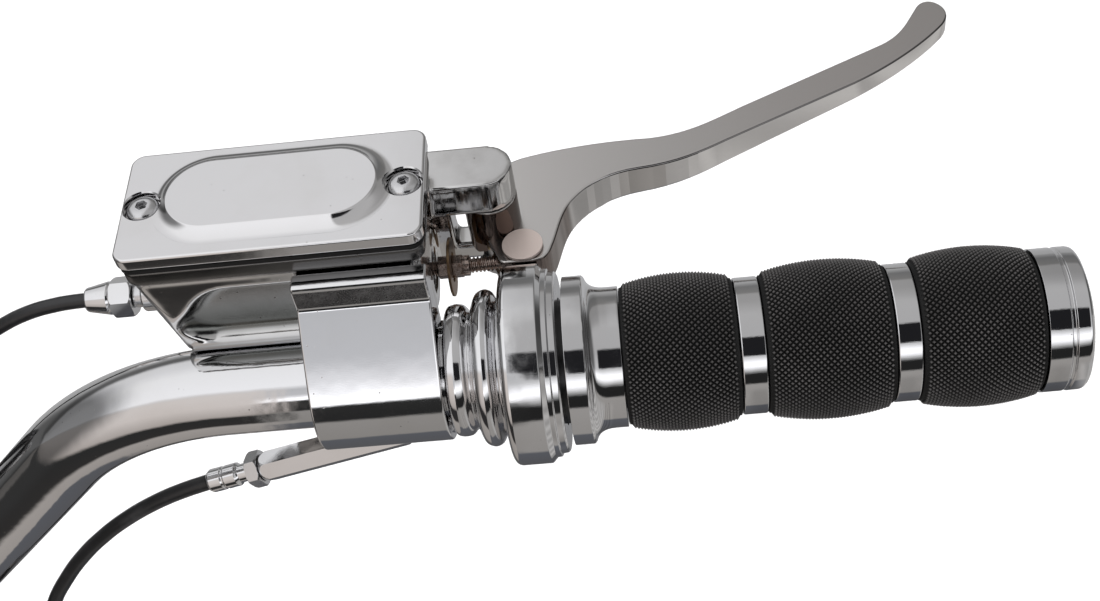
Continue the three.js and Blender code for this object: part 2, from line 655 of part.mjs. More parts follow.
function cableFerrule() {
  return turnedX([
    [ferruleStart, 1.6], [ferruleStart, 2.9], [ferruleStart + 4, 2.9], [ferruleStart + 4.3, 3.7],
    [ferruleStart + 13.8, 3.7], [ferruleStart + FERRULE_LONG, 3.2], [ferruleStart + FERRULE_LONG, 1.6],
  ], 0, 0, 20);
}

// Tube along a smooth route, and the ring that a coil of it fills.
function flexTube(points, radius, steps, sides) {
  const path = new THREE.CatmullRomCurve3(points);
  const section = new THREE.Shape();
  for (let i = 0; i < sides; i++) {
    const angle = 2 * Math.PI * i / sides;
    const [u, v] = [radius * Math.cos(angle), radius * Math.sin(angle)];
    if (i === 0) section.moveTo(u, v);
    else section.lineTo(u, v);
  }
  return solid(new THREE.ExtrudeGeometry(section, { steps, extrudePath: path, bevelEnabled: false }));
}

function coilRing({ centre, middleR, thick, wide }, spare = 0) {
  const [high, half] = [thick / 2 + spare, wide / 2 + spare];
  const points = [
    [-half, middleR - high], [half, middleR - high], [half, middleR + high], [-half, middleR + high],
  ].map(([y, radius]) => new THREE.Vector2(radius, y));
  points.push(points[0].clone());
  const ring = new THREE.LatheGeometry(points, 24);
  ring.translate(centre.x, centre.y, centre.z);
  return solid(ring);
}

const cableEnd = CABLE_EXIT.clone().add(
  vec(-Math.cos(CABLE_SLOPE), 0, -Math.sin(CABLE_SLOPE)).multiplyScalar(cableStart));
const CABLE_COIL = { centre: vec(-178, CABLE_Y, -156), middleR: 27.5, thick: 10.4, wide: 15.4 };
const CABLE_ROUTE = [
  [-75, -52.6], [-85, -57.6], [-98.4, -66.6], [-108, -74.8], [-117.6, -84.4], [-128, -97],
  [-138, -112], [-145, -126], [-149.4, -141], [-150.5, -156],
].map(([x, z]) => vec(x, CABLE_Y, z));

const HOSE_COIL = { centre: vec(-186, BORE_Y, -54), middleR: 25, thick: 9.4, wide: 13.9 };
const HOSE_START_X = -92.4;
const HOSE_ROUTE = [
  [-97, 2.8], [-102, 2.2], [-111, 0], [-122, -5], [-133, -12], [-143, -20.6], [-151, -30], [-157, -41],
  [-160.6, -49], [-161, -54],
].map(([x, z]) => vec(x, BORE_Y, z));

// Ends of the two lines, upright beside their coils, where the last turn comes up.
function cableEndFitting() {
  const { centre, middleR, wide } = CABLE_COIL;
  const ferruleR = 3.2;
  return turnedZ([
    [-149, 0], [-149, ferruleR - 0.3], [-148.6, ferruleR], [-138, ferruleR], [-137, 2.4], [-134.6, 2.4],
    [-134.6, 0.9], [-126, 0.9], [-126, 2.8], [-120.6, 2.8], [-120.6, 0],
  ], centre.x - middleR, centre.y - wide / 2 - GAP - ferruleR, 16);
}

function hoseEndFitting() {
  const { centre, middleR, wide } = HOSE_COIL;
  const [x, y] = [centre.x - middleR, centre.y - wide / 2 - 6];
  return join(
    turnedZ([
      [-46, 0], [-46, 3.6], [-45, 4], [-38, 5.2], [-37, 5], [-24.6, 5], [-24, 4.4], [-24, 0],
    ], x, y, 20),
    postZ(x, y, 6.3, -36, -30, 6));
}

// ---------------------------------------------------------------- hydraulic line fittings
function outletAdapter() {
  return turnedX([
    [-77, 0], [-77, 3.6], [-74.4, 3.6], [-74.4, 5], [-66.3, 5], [-66.3, 2], [-58, 2], [-58, 0],
  ], BORE_Y, BORE_Z, 20);
}

function hoseNut() {
  const hex = new THREE.CylinderGeometry(6.3, 6.3, 6.4, 6);
  hex.rotateY(Math.PI / 6).rotateZ(-Math.PI / 2).translate(-80.5, BORE_Y, BORE_Z);
  return solid(hex);
}

function hoseSleeve() {
  return turnedX([
    [-92.1, 0], [-92.1, 3.6], [-91.4, 4], [-84.6, 5.2], [-84, 4.8], [-84, 0],
  ], BORE_Y, BORE_Z, 20);
}

// ---------------------------------------------------------------- assembly
add("handlebar", handlebar(), CHROME);
add("master_cylinder_body", masterCylinderBody(), CHROME);
add("handlebar_clamp", handlebarClamp(), CHROME);
for (const [side, sign] of [["left", -1], ["right", 1]]) {
  add(`clamp_screw_${side}`,
    capScrew(sign * CLAMP_SCREW_X, CLAMP_SCREW_Y, -18.8, 4.4, 4.1, 2.7, 3.6, 4), STEEL);
}
add("reservoir_cover", reservoirCover(), CHROME);
add("reservoir_diaphragm", diaphragm(), BLACK_RUBBER);
for (const [side, sign] of [["left", -1], ["right", 1]]) {
  add(`cover_screw_${side}`, buttonScrew(COVER_X + sign * SCREW_SPREAD), STEEL);
}

add("piston", piston(), BILLET);
add("primary_cup", primaryCup(), BLACK_RUBBER);
add("secondary_seal", secondarySeal(), BLACK_RUBBER);
add("return_spring", returnSpring(), STEEL);
add("stop_washer", turnedX([[8.9, 5], [10.6, 5], [10.6, 7.7], [8.9, 7.7]], BORE_Y, BORE_Z, 20), STEEL);
add("retaining_ring",
  turnedX([[11.1, 5.6], [12.1, 5.6], [12.1, 8.5], [11.1, 8.5]], BORE_Y, BORE_Z, 20), STEEL);

add("clutch_lever", clutchLever(), BILLET);
add("pivot_bushing", pivotBushing(), BRONZE);
add("pivot_screw", pivotScrew(), STEEL);
add("cross_barrel", crossBarrel(), POLISHED);
add("pushrod", pushrod(), RUSTY);
add("rod_adjuster", rodAdjuster(), RUSTY);
add("dust_washer", turnedX([[18.4, 4.5], [19.2, 4.5], [19.2, 8.8], [18.4, 8.8]], BORE_Y, BORE_Z, 24), RUSTY);

add("throttle_housing", throttleHousing(), CHROME);
add("throttle_ring", throttleRing(), CHROME);
add("throttle_tube", throttleTube(), BLACK_PLASTIC);
add("grip_collar", gripCollar(), CHROME);
RUBBER_SPANS.forEach((span, i) => {
  add(`grip_rubber_${i + 1}`, gripRubber(span), BLACK_RUBBER);
});
for (const i of [0, 1]) {
  add(`grip_band_${i + 1}`, gripBand(RUBBER_SPANS[i][1] + GAP, RUBBER_SPANS[i + 1][0] - GAP), CHROME);
}
add("grip_end_cap", gripEndCap(), CHROME);

control.add(cableLine);
add("cable_guide_tube", hollowX(0, GUIDE_LONG, 3.4, 1.6), CHROME, cableLine);
add("cable_adjuster", hollowX(adjusterStart, nutStart - GAP, 5, 1.6, 6), CHROME, cableLine);
add("adjuster_lock_nut", hollowX(nutStart, nutStart + NUT_LONG, 5.8, 3.2, 6), STEEL, cableLine);
add("cable_ferrule", cableFerrule(), CHROME, cableLine);
add("throttle_cable", cut(
  flexTube([cableEnd, ...CABLE_ROUTE], CABLE_R, 16, 8),
  coilRing(CABLE_COIL, GAP)), BLACK_PLASTIC);
add("throttle_cable_coil", coilRing(CABLE_COIL), BLACK_PLASTIC);
add("cable_end_fitting", cableEndFitting(), STEEL);

add("outlet_adapter", outletAdapter(), STEEL);
add("hose_nut", hoseNut(), CHROME);
add("hose_sleeve", hoseSleeve(), CHROME);
add("hydraulic_hose", cut(
  flexTube([vec(HOSE_START_X, BORE_Y, BORE_Z), ...HOSE_ROUTE], HOSE_R, 12, 8),
  coilRing(HOSE_COIL, GAP)), BLACK_PLASTIC);
add("hydraulic_hose_coil", coilRing(HOSE_COIL), BLACK_PLASTIC);
add("hose_end_fitting", hoseEndFitting(), CHROME);

export default control;
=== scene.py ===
"""Right-hand hydraulic lever, throttle and twist grip on their handlebar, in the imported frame."""

import math

import bmesh
import bpy
from mathutils import Matrix, Vector
from mathutils.geometry import interpolate_bezier


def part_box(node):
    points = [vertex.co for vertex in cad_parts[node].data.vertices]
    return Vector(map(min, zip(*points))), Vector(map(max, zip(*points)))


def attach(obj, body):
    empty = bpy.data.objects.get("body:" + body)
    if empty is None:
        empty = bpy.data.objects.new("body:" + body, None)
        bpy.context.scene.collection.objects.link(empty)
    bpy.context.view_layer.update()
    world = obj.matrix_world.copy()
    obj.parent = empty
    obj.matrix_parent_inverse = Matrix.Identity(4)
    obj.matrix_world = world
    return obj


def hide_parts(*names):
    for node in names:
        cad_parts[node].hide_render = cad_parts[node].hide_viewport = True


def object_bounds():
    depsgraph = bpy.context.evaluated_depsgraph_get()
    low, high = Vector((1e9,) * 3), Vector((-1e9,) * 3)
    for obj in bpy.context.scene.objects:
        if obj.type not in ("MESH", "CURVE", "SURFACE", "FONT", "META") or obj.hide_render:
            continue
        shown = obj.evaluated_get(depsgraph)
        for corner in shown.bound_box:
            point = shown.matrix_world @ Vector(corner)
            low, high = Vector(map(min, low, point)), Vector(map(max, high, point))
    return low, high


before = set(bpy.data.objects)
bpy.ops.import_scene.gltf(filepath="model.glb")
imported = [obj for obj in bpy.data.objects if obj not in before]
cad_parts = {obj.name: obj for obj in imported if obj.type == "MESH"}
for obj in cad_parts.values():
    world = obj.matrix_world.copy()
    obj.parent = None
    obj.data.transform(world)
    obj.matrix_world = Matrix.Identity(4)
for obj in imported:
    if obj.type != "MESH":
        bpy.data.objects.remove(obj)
cad_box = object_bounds()

MM = 0.001
TURN = 2 * math.pi
ROUND = 96  # sides of a turned piece
X_AXIS, Y_AXIS, Z_AXIS = Vector((1, 0, 0)), Vector((0, 1, 0)), Vector((0, 0, 1))

# ---------------------------------------------------------------- camera
# Where it stands from the bar's axis, and how it is turned: azimuth, elevation and roll.
CAMERA_PLACE = Vector((0.07763, -0.26108, 0.33296))
CAMERA_AZIMUTH, CAMERA_ELEVATION, CAMERA_ROLL = (math.radians(a) for a in (6.102, 49.395, -9.751))
CAMERA_LENS = 49.5


def place_camera():
    """Looks down on the control from the rider's side."""
    flat = math.cos(CAMERA_ELEVATION)
    back = Vector((
        math.sin(CAMERA_AZIMUTH) * flat,
        -math.cos(CAMERA_AZIMUTH) * flat,
        math.sin(CAMERA_ELEVATION),
    ))
    level = Z_AXIS.cross(back).normalized()
    up = back.cross(level)
    right = level * math.cos(CAMERA_ROLL) + up * math.sin(CAMERA_ROLL)
    turned = Matrix((right, back.cross(right), back)).transposed()
    data = bpy.data.cameras.new("camera")
    data.lens = CAMERA_LENS
    data.sensor_width = 36
    data.clip_start = 0.01
    camera = bpy.data.objects.new("camera", data)
    camera.matrix_world = Matrix.Translation(CAMERA_PLACE) @ turned.to_4x4()
    bpy.context.scene.collection.objects.link(camera)
    bpy.context.scene.camera = camera


place_camera()


# ---------------------------------------------------------------- finishes
def maths(operation, reflected=False):
    """A Value's operator, which adds one Math node."""
    def operator(self, other):
        first, second = (other, self) if reflected else (self, other)
        return self.finish.node("ShaderNodeMath", {"operation": operation}, {0: first, 1: second})
    return operator


class Value:
    """A socket in a finish. Sums on it add Math nodes."""

    def __init__(self, finish, socket):
        self.finish = finish
        self.socket = socket

    __add__, __radd__ = maths("ADD"), maths("ADD", reflected=True)
    __sub__, __rsub__ = maths("SUBTRACT"), maths("SUBTRACT", reflected=True)
    __mul__, __rmul__ = maths("MULTIPLY"), maths("MULTIPLY", reflected=True)
    __truediv__, __pow__ = maths("DIVIDE"), maths("POWER")

    def over(self, edge):
        """1 where the value is over the edge."""
        return self.finish.node("ShaderNodeMath", {"operation": "GREATER_THAN"}, {0: self, 1: edge})

    def between(self, low, high):
        """From 0 at low to 1 at high, smooth at both ends."""
        return self.finish.node(
            "ShaderNodeMapRange",
            {"interpolation_type": "SMOOTHSTEP"},
            {"Value": self, "From Min": low, "From Max": high},
        )


class Finish:
    """A material or world, built a node at a time."""

    def __init__(self, owner):
        owner.use_nodes = True
        self.owner = owner
        self.tree = owner.node_tree
        self.tree.nodes.clear()

    def node(self, kind, settings=None, inputs=None, out=0):
        made = self.tree.nodes.new(kind)
        for key, value in (settings or {}).items():
            if key == "stops":
                ramp = made.color_ramp
                for _ in range(len(value) - len(ramp.elements)):
                    ramp.elements.new(0.5)
                for stop, (at, colour) in zip(ramp.elements, value):
                    stop.position = at
                    stop.color = (*colour, 1)
            else:
                setattr(made, key, value)
        for key, value in (inputs or {}).items():
            if isinstance(value, Value):
                self.tree.links.new(value.socket, made.inputs[key])
            else:
                made.inputs[key].default_value = value
        return Value(self, made.outputs[out]) if made.outputs else made

    def place(self, stretch=(1, 1, 1), turn=(0, 0, 0)):
        """Object coordinates, stretched and turned."""
        where = self.node("ShaderNodeTexCoord", out="Object")
        return self.node(
            "ShaderNodeMapping", {"vector_type": "POINT"},
            {"Vector": where, "Scale": stretch, "Rotation": turn},
        )

    def noise(self, where, scale, detail=3, rough=0.5):
        return self.node(
            "ShaderNodeTexNoise", None,
            {"Vector": where, "Scale": scale, "Detail": detail, "Roughness": rough},
        )

    def blend(self, share, first, second):
        """A colour between two, each an RGB or a socket."""
        as_colour = lambda c: c if isinstance(c, Value) else (*c, 1)
        return self.node(
            "ShaderNodeMix", {"data_type": "RGBA"},
            {0: share, 6: as_colour(first), 7: as_colour(second)}, out=2,
        )

    def parts(self, vector):
        """The three numbers of a vector."""
        return [self.node("ShaderNodeSeparateXYZ", None, {0: vector}, out=k) for k in range(3)]

    def pits(self, where, narrow, wide, rarity):
        """Small round pits, scattered: 1 in the middle of each."""
        cells = self.node("ShaderNodeTexVoronoi", None, {"Vector": where, "Scale": 420}, out="Distance")
        return (1 - cells.between(narrow, wide)) * self.noise(where, 130, 1).over(rarity)

    def scaled(self, colour, by):
        """A colour made brighter or darker."""
        return self.node("ShaderNodeVectorMath", {"operation": "SCALE"}, {0: colour, "Scale": by})

    def bump(self, height, strength, distance, onto=None):
        inputs = {"Height": height, "Strength": strength, "Distance": distance}
        if onto:
            inputs["Normal"] = onto
        return self.node("ShaderNodeBump", None, inputs)

    def surface(self, **sockets):
        """The Principled shader, its sockets given by name with _ for a space."""
        inputs = {key.replace("_", " "): value for key, value in sockets.items()}
        shader = self.node("ShaderNodeBsdfPrincipled", None, inputs)
        self.node("ShaderNodeOutputMaterial", None, {"Surface": shader})
        return self.owner


def finish(name):
    return Finish(bpy.data.materials.new(name))


def chrome_plate(name, tone=(0.75, 0.75, 0.76), haze=0.035, pits=0.5, wave=0.04):
    """Bright plate over polished metal: faint waves, hairline scratches and a few pits."""
    f = finish(name)
    where = f.place()
    waves = f.noise(where, 90, 2)
    hairs = f.noise(f.place(stretch=(1, 9, 9), turn=(0.5, 0.3, 0.9)), 700, 2)
    pit = f.pits(where, 0.03, 0.1, 0.6) * pits
    film = f.noise(where, 38, 4, 0.6).between(0.45, 0.75)
    colour = f.blend(film * 0.35, tone, tuple(c * s for c, s in zip(tone, (0.9, 0.885, 0.86))))
    colour = f.blend(pit, colour, (0.12, 0.1, 0.09))
    scratch = hairs.between(0.58, 0.75)
    rough = haze + film * 0.05 + scratch * 0.05 + pit * 0.4
    relief = f.bump(waves, wave, 0.002)
    relief = f.bump(hairs, 0.012, 0.0004, relief)
    return f.surface(
        Base_Color=colour, Metallic=1.0, Roughness=rough, Normal=f.bump(1 - pit, 0.2, 0.0002, relief))


def tank_plate(name, flange_z, wall_y, hollow):
    """Duller plate of the casting, with painted shade: the flange under the lid's edge, the hollow in its
    wall and the wall below the hollow are coloured darker.
    """
    f = finish(name)
    where = f.place()
    x, y, z = f.parts(where)
    low_x, high_x, low_z, high_z = (v * MM for v in hollow)
    left_of_end = 1 - x.between(high_x, high_x + 0.002)
    edge = z.between((flange_z - 0.8) * MM, (flange_z + 0.2) * MM)
    depth = y.between((wall_y + 0.2) * MM, (wall_y + 2.2) * MM)
    inside = depth * x.between(low_x, low_x + 0.004) * z.between(low_z, low_z + 0.002)
    inside = inside * (1 - z.between(high_z, high_z + 0.004)) * left_of_end
    shade = inside * (1 - z.between(low_z + 0.004, high_z) * 0.45)
    painted_shade_below_hollow = (1 - z.between(low_z - 0.002, low_z + 0.001)) * x.between(low_x, low_x + 0.004)
    painted_shade_below_hollow = painted_shade_below_hollow * left_of_end * (1 - y.between((wall_y + 3) * MM, (wall_y + 5) * MM))
    pit = f.pits(where, 0.04, 0.12, 0.55)
    film = f.noise(where, 60, 4, 0.6).between(0.4, 0.75)
    colour = f.blend(film * 0.4, (0.68, 0.675, 0.67), (0.5, 0.49, 0.475))
    # painted shade: the flange, under the lid's edge, coloured near black
    colour = f.blend(edge * 0.86, colour, (0.07, 0.068, 0.066))
    # painted shade in the hollow of the wall, darker towards its bottom
    colour = f.blend(shade * 0.9, colour, (0.085, 0.09, 0.083))
    # painted shade on the wall below the hollow
    colour = f.blend(painted_shade_below_hollow * 0.8, colour, (0.13, 0.135, 0.145))
    colour = f.blend(pit * 0.8, colour, (0.1, 0.085, 0.08))
    rough = 0.06 + film * 0.06 + pit * 0.4 + edge * 0.12 + inside * 0.14
    relief = f.bump(f.noise(where, 90, 2), 0.035, 0.002)
    return f.surface(
        Base_Color=colour, Metallic=1.0, Roughness=rough, Normal=f.bump(1 - pit, 0.2, 0.0002, relief))


def cast_grain_and_shade(name):
    """Strip of the casting under the plate: speckled grain, its dark tone painted shade."""
    f = finish(name)
    where = f.place()
    grain = f.noise(where, 5200, 2, 0.6)
    blotch = f.noise(where, 240, 3)
    speck = (grain + blotch * 0.25).between(0.56, 0.78)
    # the speckles are the casting's grain; the dark tone is painted shade
    colour = f.blend(speck, (0.09, 0.09, 0.092), (0.36, 0.36, 0.37))
    return f.surface(
        Base_Color=colour, Metallic=1.0, Roughness=0.22 + speck * 0.25, Normal=f.bump(grain, 0.25, 0.0002))


def satin_alloy(name, hub):
    """Aluminium polished by hand along the blade, satin on top. Painted light and shade on its sides: darker
    near the hub and brighter towards the tip, with painted dark reflections on the hub's side, on the sides
    near the large ring and along the blade's inner bevel.
    """
    f = finish(name)
    grain = f.noise(f.place(stretch=(0.06, 1, 1), turn=(0, 0, -0.42)), 1100, 2, 0.5)
    cloud = f.noise(f.place(), 26, 2)
    x, y, _ = f.parts(f.place())
    _, inward, upward = f.parts(f.node("ShaderNodeNewGeometry", out="Normal"))
    flat = upward.between(0.55, 0.9)
    blade = x.between(0.06, 0.08)
    top = f.blend(x.between(0.07, 0.15), (0.72, 0.7, 0.685), (0.66, 0.63, 0.615))
    # painted light and shade on the sides: darker by the hub, lighter towards the tip
    side = f.blend(x.between(0.055, 0.095), (0.56, 0.55, 0.545), (0.84, 0.825, 0.815))
    colour = f.blend(flat, side, top)
    colour = f.blend(cloud * 0.12, colour, (0.4, 0.39, 0.38))
    across, along = x - hub[0] * MM, y - hub[1] * MM
    reach = (across * across + along * along) ** 0.5
    # painted shade: the hub's side coloured dark
    worn = (1 - reach.between(0.0088, 0.0096)) * (1 - flat)
    colour = f.blend(worn * 0.72, colour, (0.12, 0.12, 0.12))
    # painted reflection: a dark brown patch on the sides near the large ring
    painted_corner_reflection = (1 - x.between(0.0555, 0.0575)) * (1 - y.between(0.05, 0.053)) * (1 - flat)
    colour = f.blend(painted_corner_reflection * 0.85, colour, (0.12, 0.085, 0.07))
    # painted reflection: the blade's inner bevel coloured dark
    rim = upward.between(0.15, 0.3) * (1 - upward.between(0.85, 0.97)) * (0 - inward).between(0.05, 0.2)
    colour = f.blend(rim * blade * 0.8, colour, (0.09, 0.085, 0.085))
    rough = 0.07 + flat * 0.14 + grain * 0.06
    return f.surface(
        Base_Color=colour, Metallic=1.0, Roughness=rough, Normal=f.bump(grain, 0.03, 0.0002))


def faced_bronze(name):
    """The barrel's turned face, with a pinkish tarnish."""
    f = finish(name)
    cloud = f.noise(f.place(), 90, 2)
    grain = f.noise(f.place(stretch=(1, 12, 1)), 900, 2)
    colour = f.blend(cloud, (0.66, 0.56, 0.515), (0.72, 0.62, 0.575))
    return f.surface(
        Base_Color=colour, Metallic=0.65, Roughness=0.34 + grain * 0.1, Normal=f.bump(grain, 0.03, 0.0002))


def plain_steel(name, tone=(0.56, 0.56, 0.57), haze=0.22):
    """Turned or forged steel without plate."""
    f = finish(name)
    grain = f.noise(f.place(stretch=(6, 1, 1)), 800, 3)
    cloud = f.noise(f.place(), 120, 3)
    colour = f.blend(cloud, tuple(c * 0.8 for c in tone), tone)
    return f.surface(
        Base_Color=colour, Metallic=1.0, Roughness=haze + grain * 0.16, Normal=f.bump(grain, 0.08, 0.0003))


def rusted_steel(name):
    """Steel gone brown, with rust in its hollows and a shine left on its crests."""
    f = finish(name)
    where = f.place()
    patches = f.noise(where, 420, 4, 0.6)
    crust = patches.between(0.46, 0.7)
    colour = f.blend(crust, (0.52, 0.43, 0.385), (0.2, 0.115, 0.08))
    colour = f.blend(f.noise(where, 900, 3).between(0.6, 0.85) * 0.5, colour, (0.33, 0.19, 0.12))
    return f.surface(
        Base_Color=colour, Metallic=1 - crust * 0.4, Roughness=0.2 + crust * 0.3,
        Normal=f.bump(patches, 0.12, 0.0003))


def bearing_bronze(name, tone=(0.66, 0.49, 0.29)):
    """Plain bearing metal, clouded."""
    f = finish(name)
    cloud = f.noise(f.place(), 200, 3)
    colour = f.blend(cloud, tuple(c * 0.75 for c in tone), tone)
    return f.surface(
        Base_Color=colour, Metallic=1.0, Roughness=0.3 + cloud * 0.15, Normal=f.bump(cloud, 0.05, 0.0003))


def black_rubber(name):
    """Rubber with a faint shine on the knurl's points, and painted shade in its grooves, coloured near
    black.
    """
    f = finish(name)
    where = f.place()
    dust = f.noise(where, 60, 4, 0.6).between(0.4, 0.75)
    specks = f.noise(where, 2400, 2).between(0.64, 0.76)
    point = f.node("ShaderNodeAttribute", {"attribute_name": "worn"}, out="Fac").between(0.3, 0.7)
    colour = f.blend(dust, (0.068, 0.065, 0.064), (0.1, 0.095, 0.094))
    colour = f.blend(specks * 0.3, colour, (0.1, 0.1, 0.1))
    # painted shade: the knurl's grooves coloured near black
    colour = f.blend(1 - point, colour, (0.002, 0.002, 0.002))
    grain = f.noise(where, 1800, 3)
    return f.surface(
        Base_Color=colour, Metallic=0.0, Roughness=0.7 - point * 0.38 + dust * 0.08,
        Normal=f.bump(grain, 0.08, 0.0003))


def black_plastic(name):
    """Extruded sheath, smooth with a soft shine."""
    f = finish(name)
    where = f.place()
    drawn = f.noise(where, 260, 3)
    scuff = f.noise(where, 90, 4, 0.6).between(0.52, 0.75)
    colour = f.blend(scuff, (0.012, 0.012, 0.013), (0.035, 0.035, 0.037))
    return f.surface(
        Base_Color=colour, Metallic=0.0, Roughness=0.28 + scuff * 0.2, Normal=f.bump(drawn, 0.05, 0.0004))


CHROME = chrome_plate("chrome_plate")
LID_CHROME = chrome_plate("lid_chrome", tone=(0.76, 0.755, 0.76), haze=0.07, pits=0.4, wave=0.02)
GRAIN_AND_SHADE = cast_grain_and_shade("cast_grain_and_shade")
DISC = faced_bronze("faced_bronze")
STEEL = plain_steel("plain_steel")
BRIGHT_STEEL = plain_steel("bright_steel", tone=(0.72, 0.72, 0.73), haze=0.1)
RUST = rusted_steel("rusted_steel")
BRONZE = bearing_bronze("bearing_bronze")
TARNISH = bearing_bronze("tarnished_bronze", tone=(0.3, 0.2, 0.12))
RUBBER = black_rubber("black_rubber")
SHEATH = black_plastic("black_plastic")


# ---------------------------------------------------------------- shapes, worked out in millimetres
def ends(node):
    """Lowest and highest corner of a CAD node, in millimetres."""
    low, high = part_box(node)
    return low / MM, high / MM


def soften(bm, width, above=25, segments=3, edges=None):
    """Rounds the edges that turn by more than the angle, in degrees."""
    chosen = edges or [
        e for e in bm.edges if len(e.link_faces) == 2 and e.calc_face_angle(0) > math.radians(above)]
    if chosen:
        bmesh.ops.bevel(
            bm, geom=chosen, offset=width, offset_type="OFFSET", segments=segments, profile=0.5,
            affect="EDGES", clamp_overlap=True, material=-1)
    return bm


def closed(bm):
    """Merges doubles and turns the faces outwards."""
    bmesh.ops.remove_doubles(bm, verts=bm.verts, dist=0.001)
    bmesh.ops.dissolve_degenerate(bm, dist=0.0005, edges=bm.edges)
    bmesh.ops.recalc_face_normals(bm, faces=bm.faces)
    return bm


def chain(bm, points, close=False):
    """Vertices joined by edges."""
    verts = [bm.verts.new(p) for p in points]
    edges = [bm.edges.new(pair) for pair in zip(verts, verts[1:])]
    if close:
        edges.append(bm.edges.new((verts[-1], verts[0])))
    return verts, edges


def turned(profile, y=0.0, z=0.0, round_off=0.25, sides=ROUND, segments=2):
    """Turned about a line along X at (y, z), from a list of (x, radius)."""
    bm = bmesh.new()
    ring = profile[0][1] > 0
    verts, edges = chain(bm, [(x, y, z + radius) for x, radius in profile], close=ring)
    bmesh.ops.spin(
        bm, geom=verts + edges, cent=(0, y, z), axis=X_AXIS, angle=TURN, steps=sides, use_merge=True)
    closed(bm)
    return soften(bm, round_off, segments=segments) if round_off else bm


def upright(profile, x, y, **options):
    """Turned about a line along Z at (x, y), from a list of (z, radius)."""
    bm = turned(profile, **options)
    bmesh.ops.transform(
        bm, matrix=Matrix.Translation((x, y, 0)) @ Matrix.Rotation(-TURN / 4, 4, "Y"), verts=bm.verts)
    return bm


def prism(outline, low, high, across="z"):
    """A flat outline made thick. across is the axis that it is made thick along."""
    lay, way = {
        "x": (lambda u, v: (low, u, v), X_AXIS),
        "y": (lambda u, v: (u, low, v), Y_AXIS),
        "z": (lambda u, v: (u, v, low), Z_AXIS)}[across]
    bm = bmesh.new()
    face = bm.faces.new([bm.verts.new(lay(u, v)) for u, v in outline])
    risen = bmesh.ops.extrude_face_region(bm, geom=[face])["geom"]
    bmesh.ops.translate(
        bm, vec=way * (high - low), verts=[v for v in risen if isinstance(v, bmesh.types.BMVert)])
    return closed(bm)


def stacked(levels):
    """Skin through outlines of equal count, each (z, points), capped at both ends."""
    bm = bmesh.new()
    loops = [chain(bm, [(u, v, z) for u, v in points], close=True) for z, points in levels]
    for (_, lower), (_, upper) in zip(loops, loops[1:]):
        bmesh.ops.bridge_loops(bm, edges=lower + upper)
    bm.faces.new(loops[0][0])
    bm.faces.new(loops[-1][0])
    return closed(bm)


def rounded_rectangle(x, y, long, deep, corner, per_corner=12):
    """Points of a plate's outline, anticlockwise from its right-hand side."""
    points = []
    half_x, half_y = long / 2 - corner, deep / 2 - corner
    for quarter, (cx, cy) in enumerate(
            [(half_x, half_y), (-half_x, half_y), (-half_x, -half_y), (half_x, -half_y)]):
        for i in range(per_corner + 1):
            angle = (quarter + i / per_corner) * TURN / 4
            points.append((x + cx + corner * math.cos(angle), y + cy + corner * math.sin(angle)))
    return points


def hexagon(u, v, across_flats, turn=0.0):
    """Corners of a nut or a socket."""
    reach = across_flats / math.sqrt(3)
    return [
        (u + reach * math.cos(turn + i * TURN / 6), v + reach * math.sin(turn + i * TURN / 6))
        for i in range(6)]


def arc(u, v, radius, start, end, count=48):
    """Points on a circle, in degrees."""
    return [
        (u + radius * math.cos(math.radians(start + (end - start) * i / count)),
         v + radius * math.sin(math.radians(start + (end - start) * i / count)))
        for i in range(count + 1)]


def sweep(start, *bends, count=14):
    """Outline through straight and Bezier stretches. A fourth entry is a stretch's own count of points."""
    points = [start]
    for bend in bends:
        if len(bend) == 1:
            points.append(bend[0])
        else:
            first = points[-1]
            near, far, last, *own = bend
            line = interpolate_bezier(
                *(Vector((*p, 0)) for p in (first, near, far, last)), (own or [count])[0] + 1)
            points += [(p.x, p.y) for p in line[1:]]
    return points


def as_object(bm, name="shape"):
    """An object in the scene from a bmesh, which goes."""
    mesh = bpy.data.meshes.new(name)
    bm.to_mesh(mesh)
    bm.free()
    made = bpy.data.objects.new(name, mesh)
    bpy.context.scene.collection.objects.link(made)
    return made


def settled(thing):
    """The mesh after its modifiers as a new bmesh; the object goes."""
    seen = thing.evaluated_get(bpy.context.evaluated_depsgraph_get())
    mesh = bpy.data.meshes.new_from_object(seen)
    bm = bmesh.new()
    bm.from_mesh(mesh)
    bpy.data.meshes.remove(mesh)
    bpy.data.objects.remove(thing)
    return bm


def combined(blank, operation, *others):
    """The blank joined with others, or cut by them."""
    thing = as_object(blank)
    tools = [as_object(o) for o in others]
    for tool in tools:
        step = thing.modifiers.new("step", "BOOLEAN")
        step.operation = operation
        step.solver = "EXACT"
        step.object = tool
    bm = settled(thing)
    for tool in tools:
        bpy.data.objects.remove(tool)
    return bm


def cut(blank, *tools):
    return combined(blank, "DIFFERENCE", *tools)


def fused(blank, *others):
    return combined(blank, "UNION", *others)


def together(*shapes):
    """Several shapes in one mesh."""
    bm = bmesh.new()
    for shape in shapes:
        mesh = bpy.data.meshes.new("part")
        shape.to_mesh(mesh)
        shape.free()
        bm.from_mesh(mesh)
        bpy.data.meshes.remove(mesh)
    return bm


def pin(low, high, radius):
    """Profile of a plain pin."""
    return [(low, 0), (low, radius), (high, radius), (high, 0)]


def rod_x(x0, x1, radius, y=0.0, z=0.0, sides=ROUND):
    return turned(pin(x0, x1, radius), y, z, round_off=0, sides=sides)


def post_z(x, y, radius, z0, z1, sides=64):
    return upright(pin(z0, z1, radius), x, y, round_off=0, sides=sides)


def block(x0, x1, y0, y1, z0, z1):
    return prism([(x0, y0), (x1, y0), (x1, y1), (x0, y1)], z0, z1)


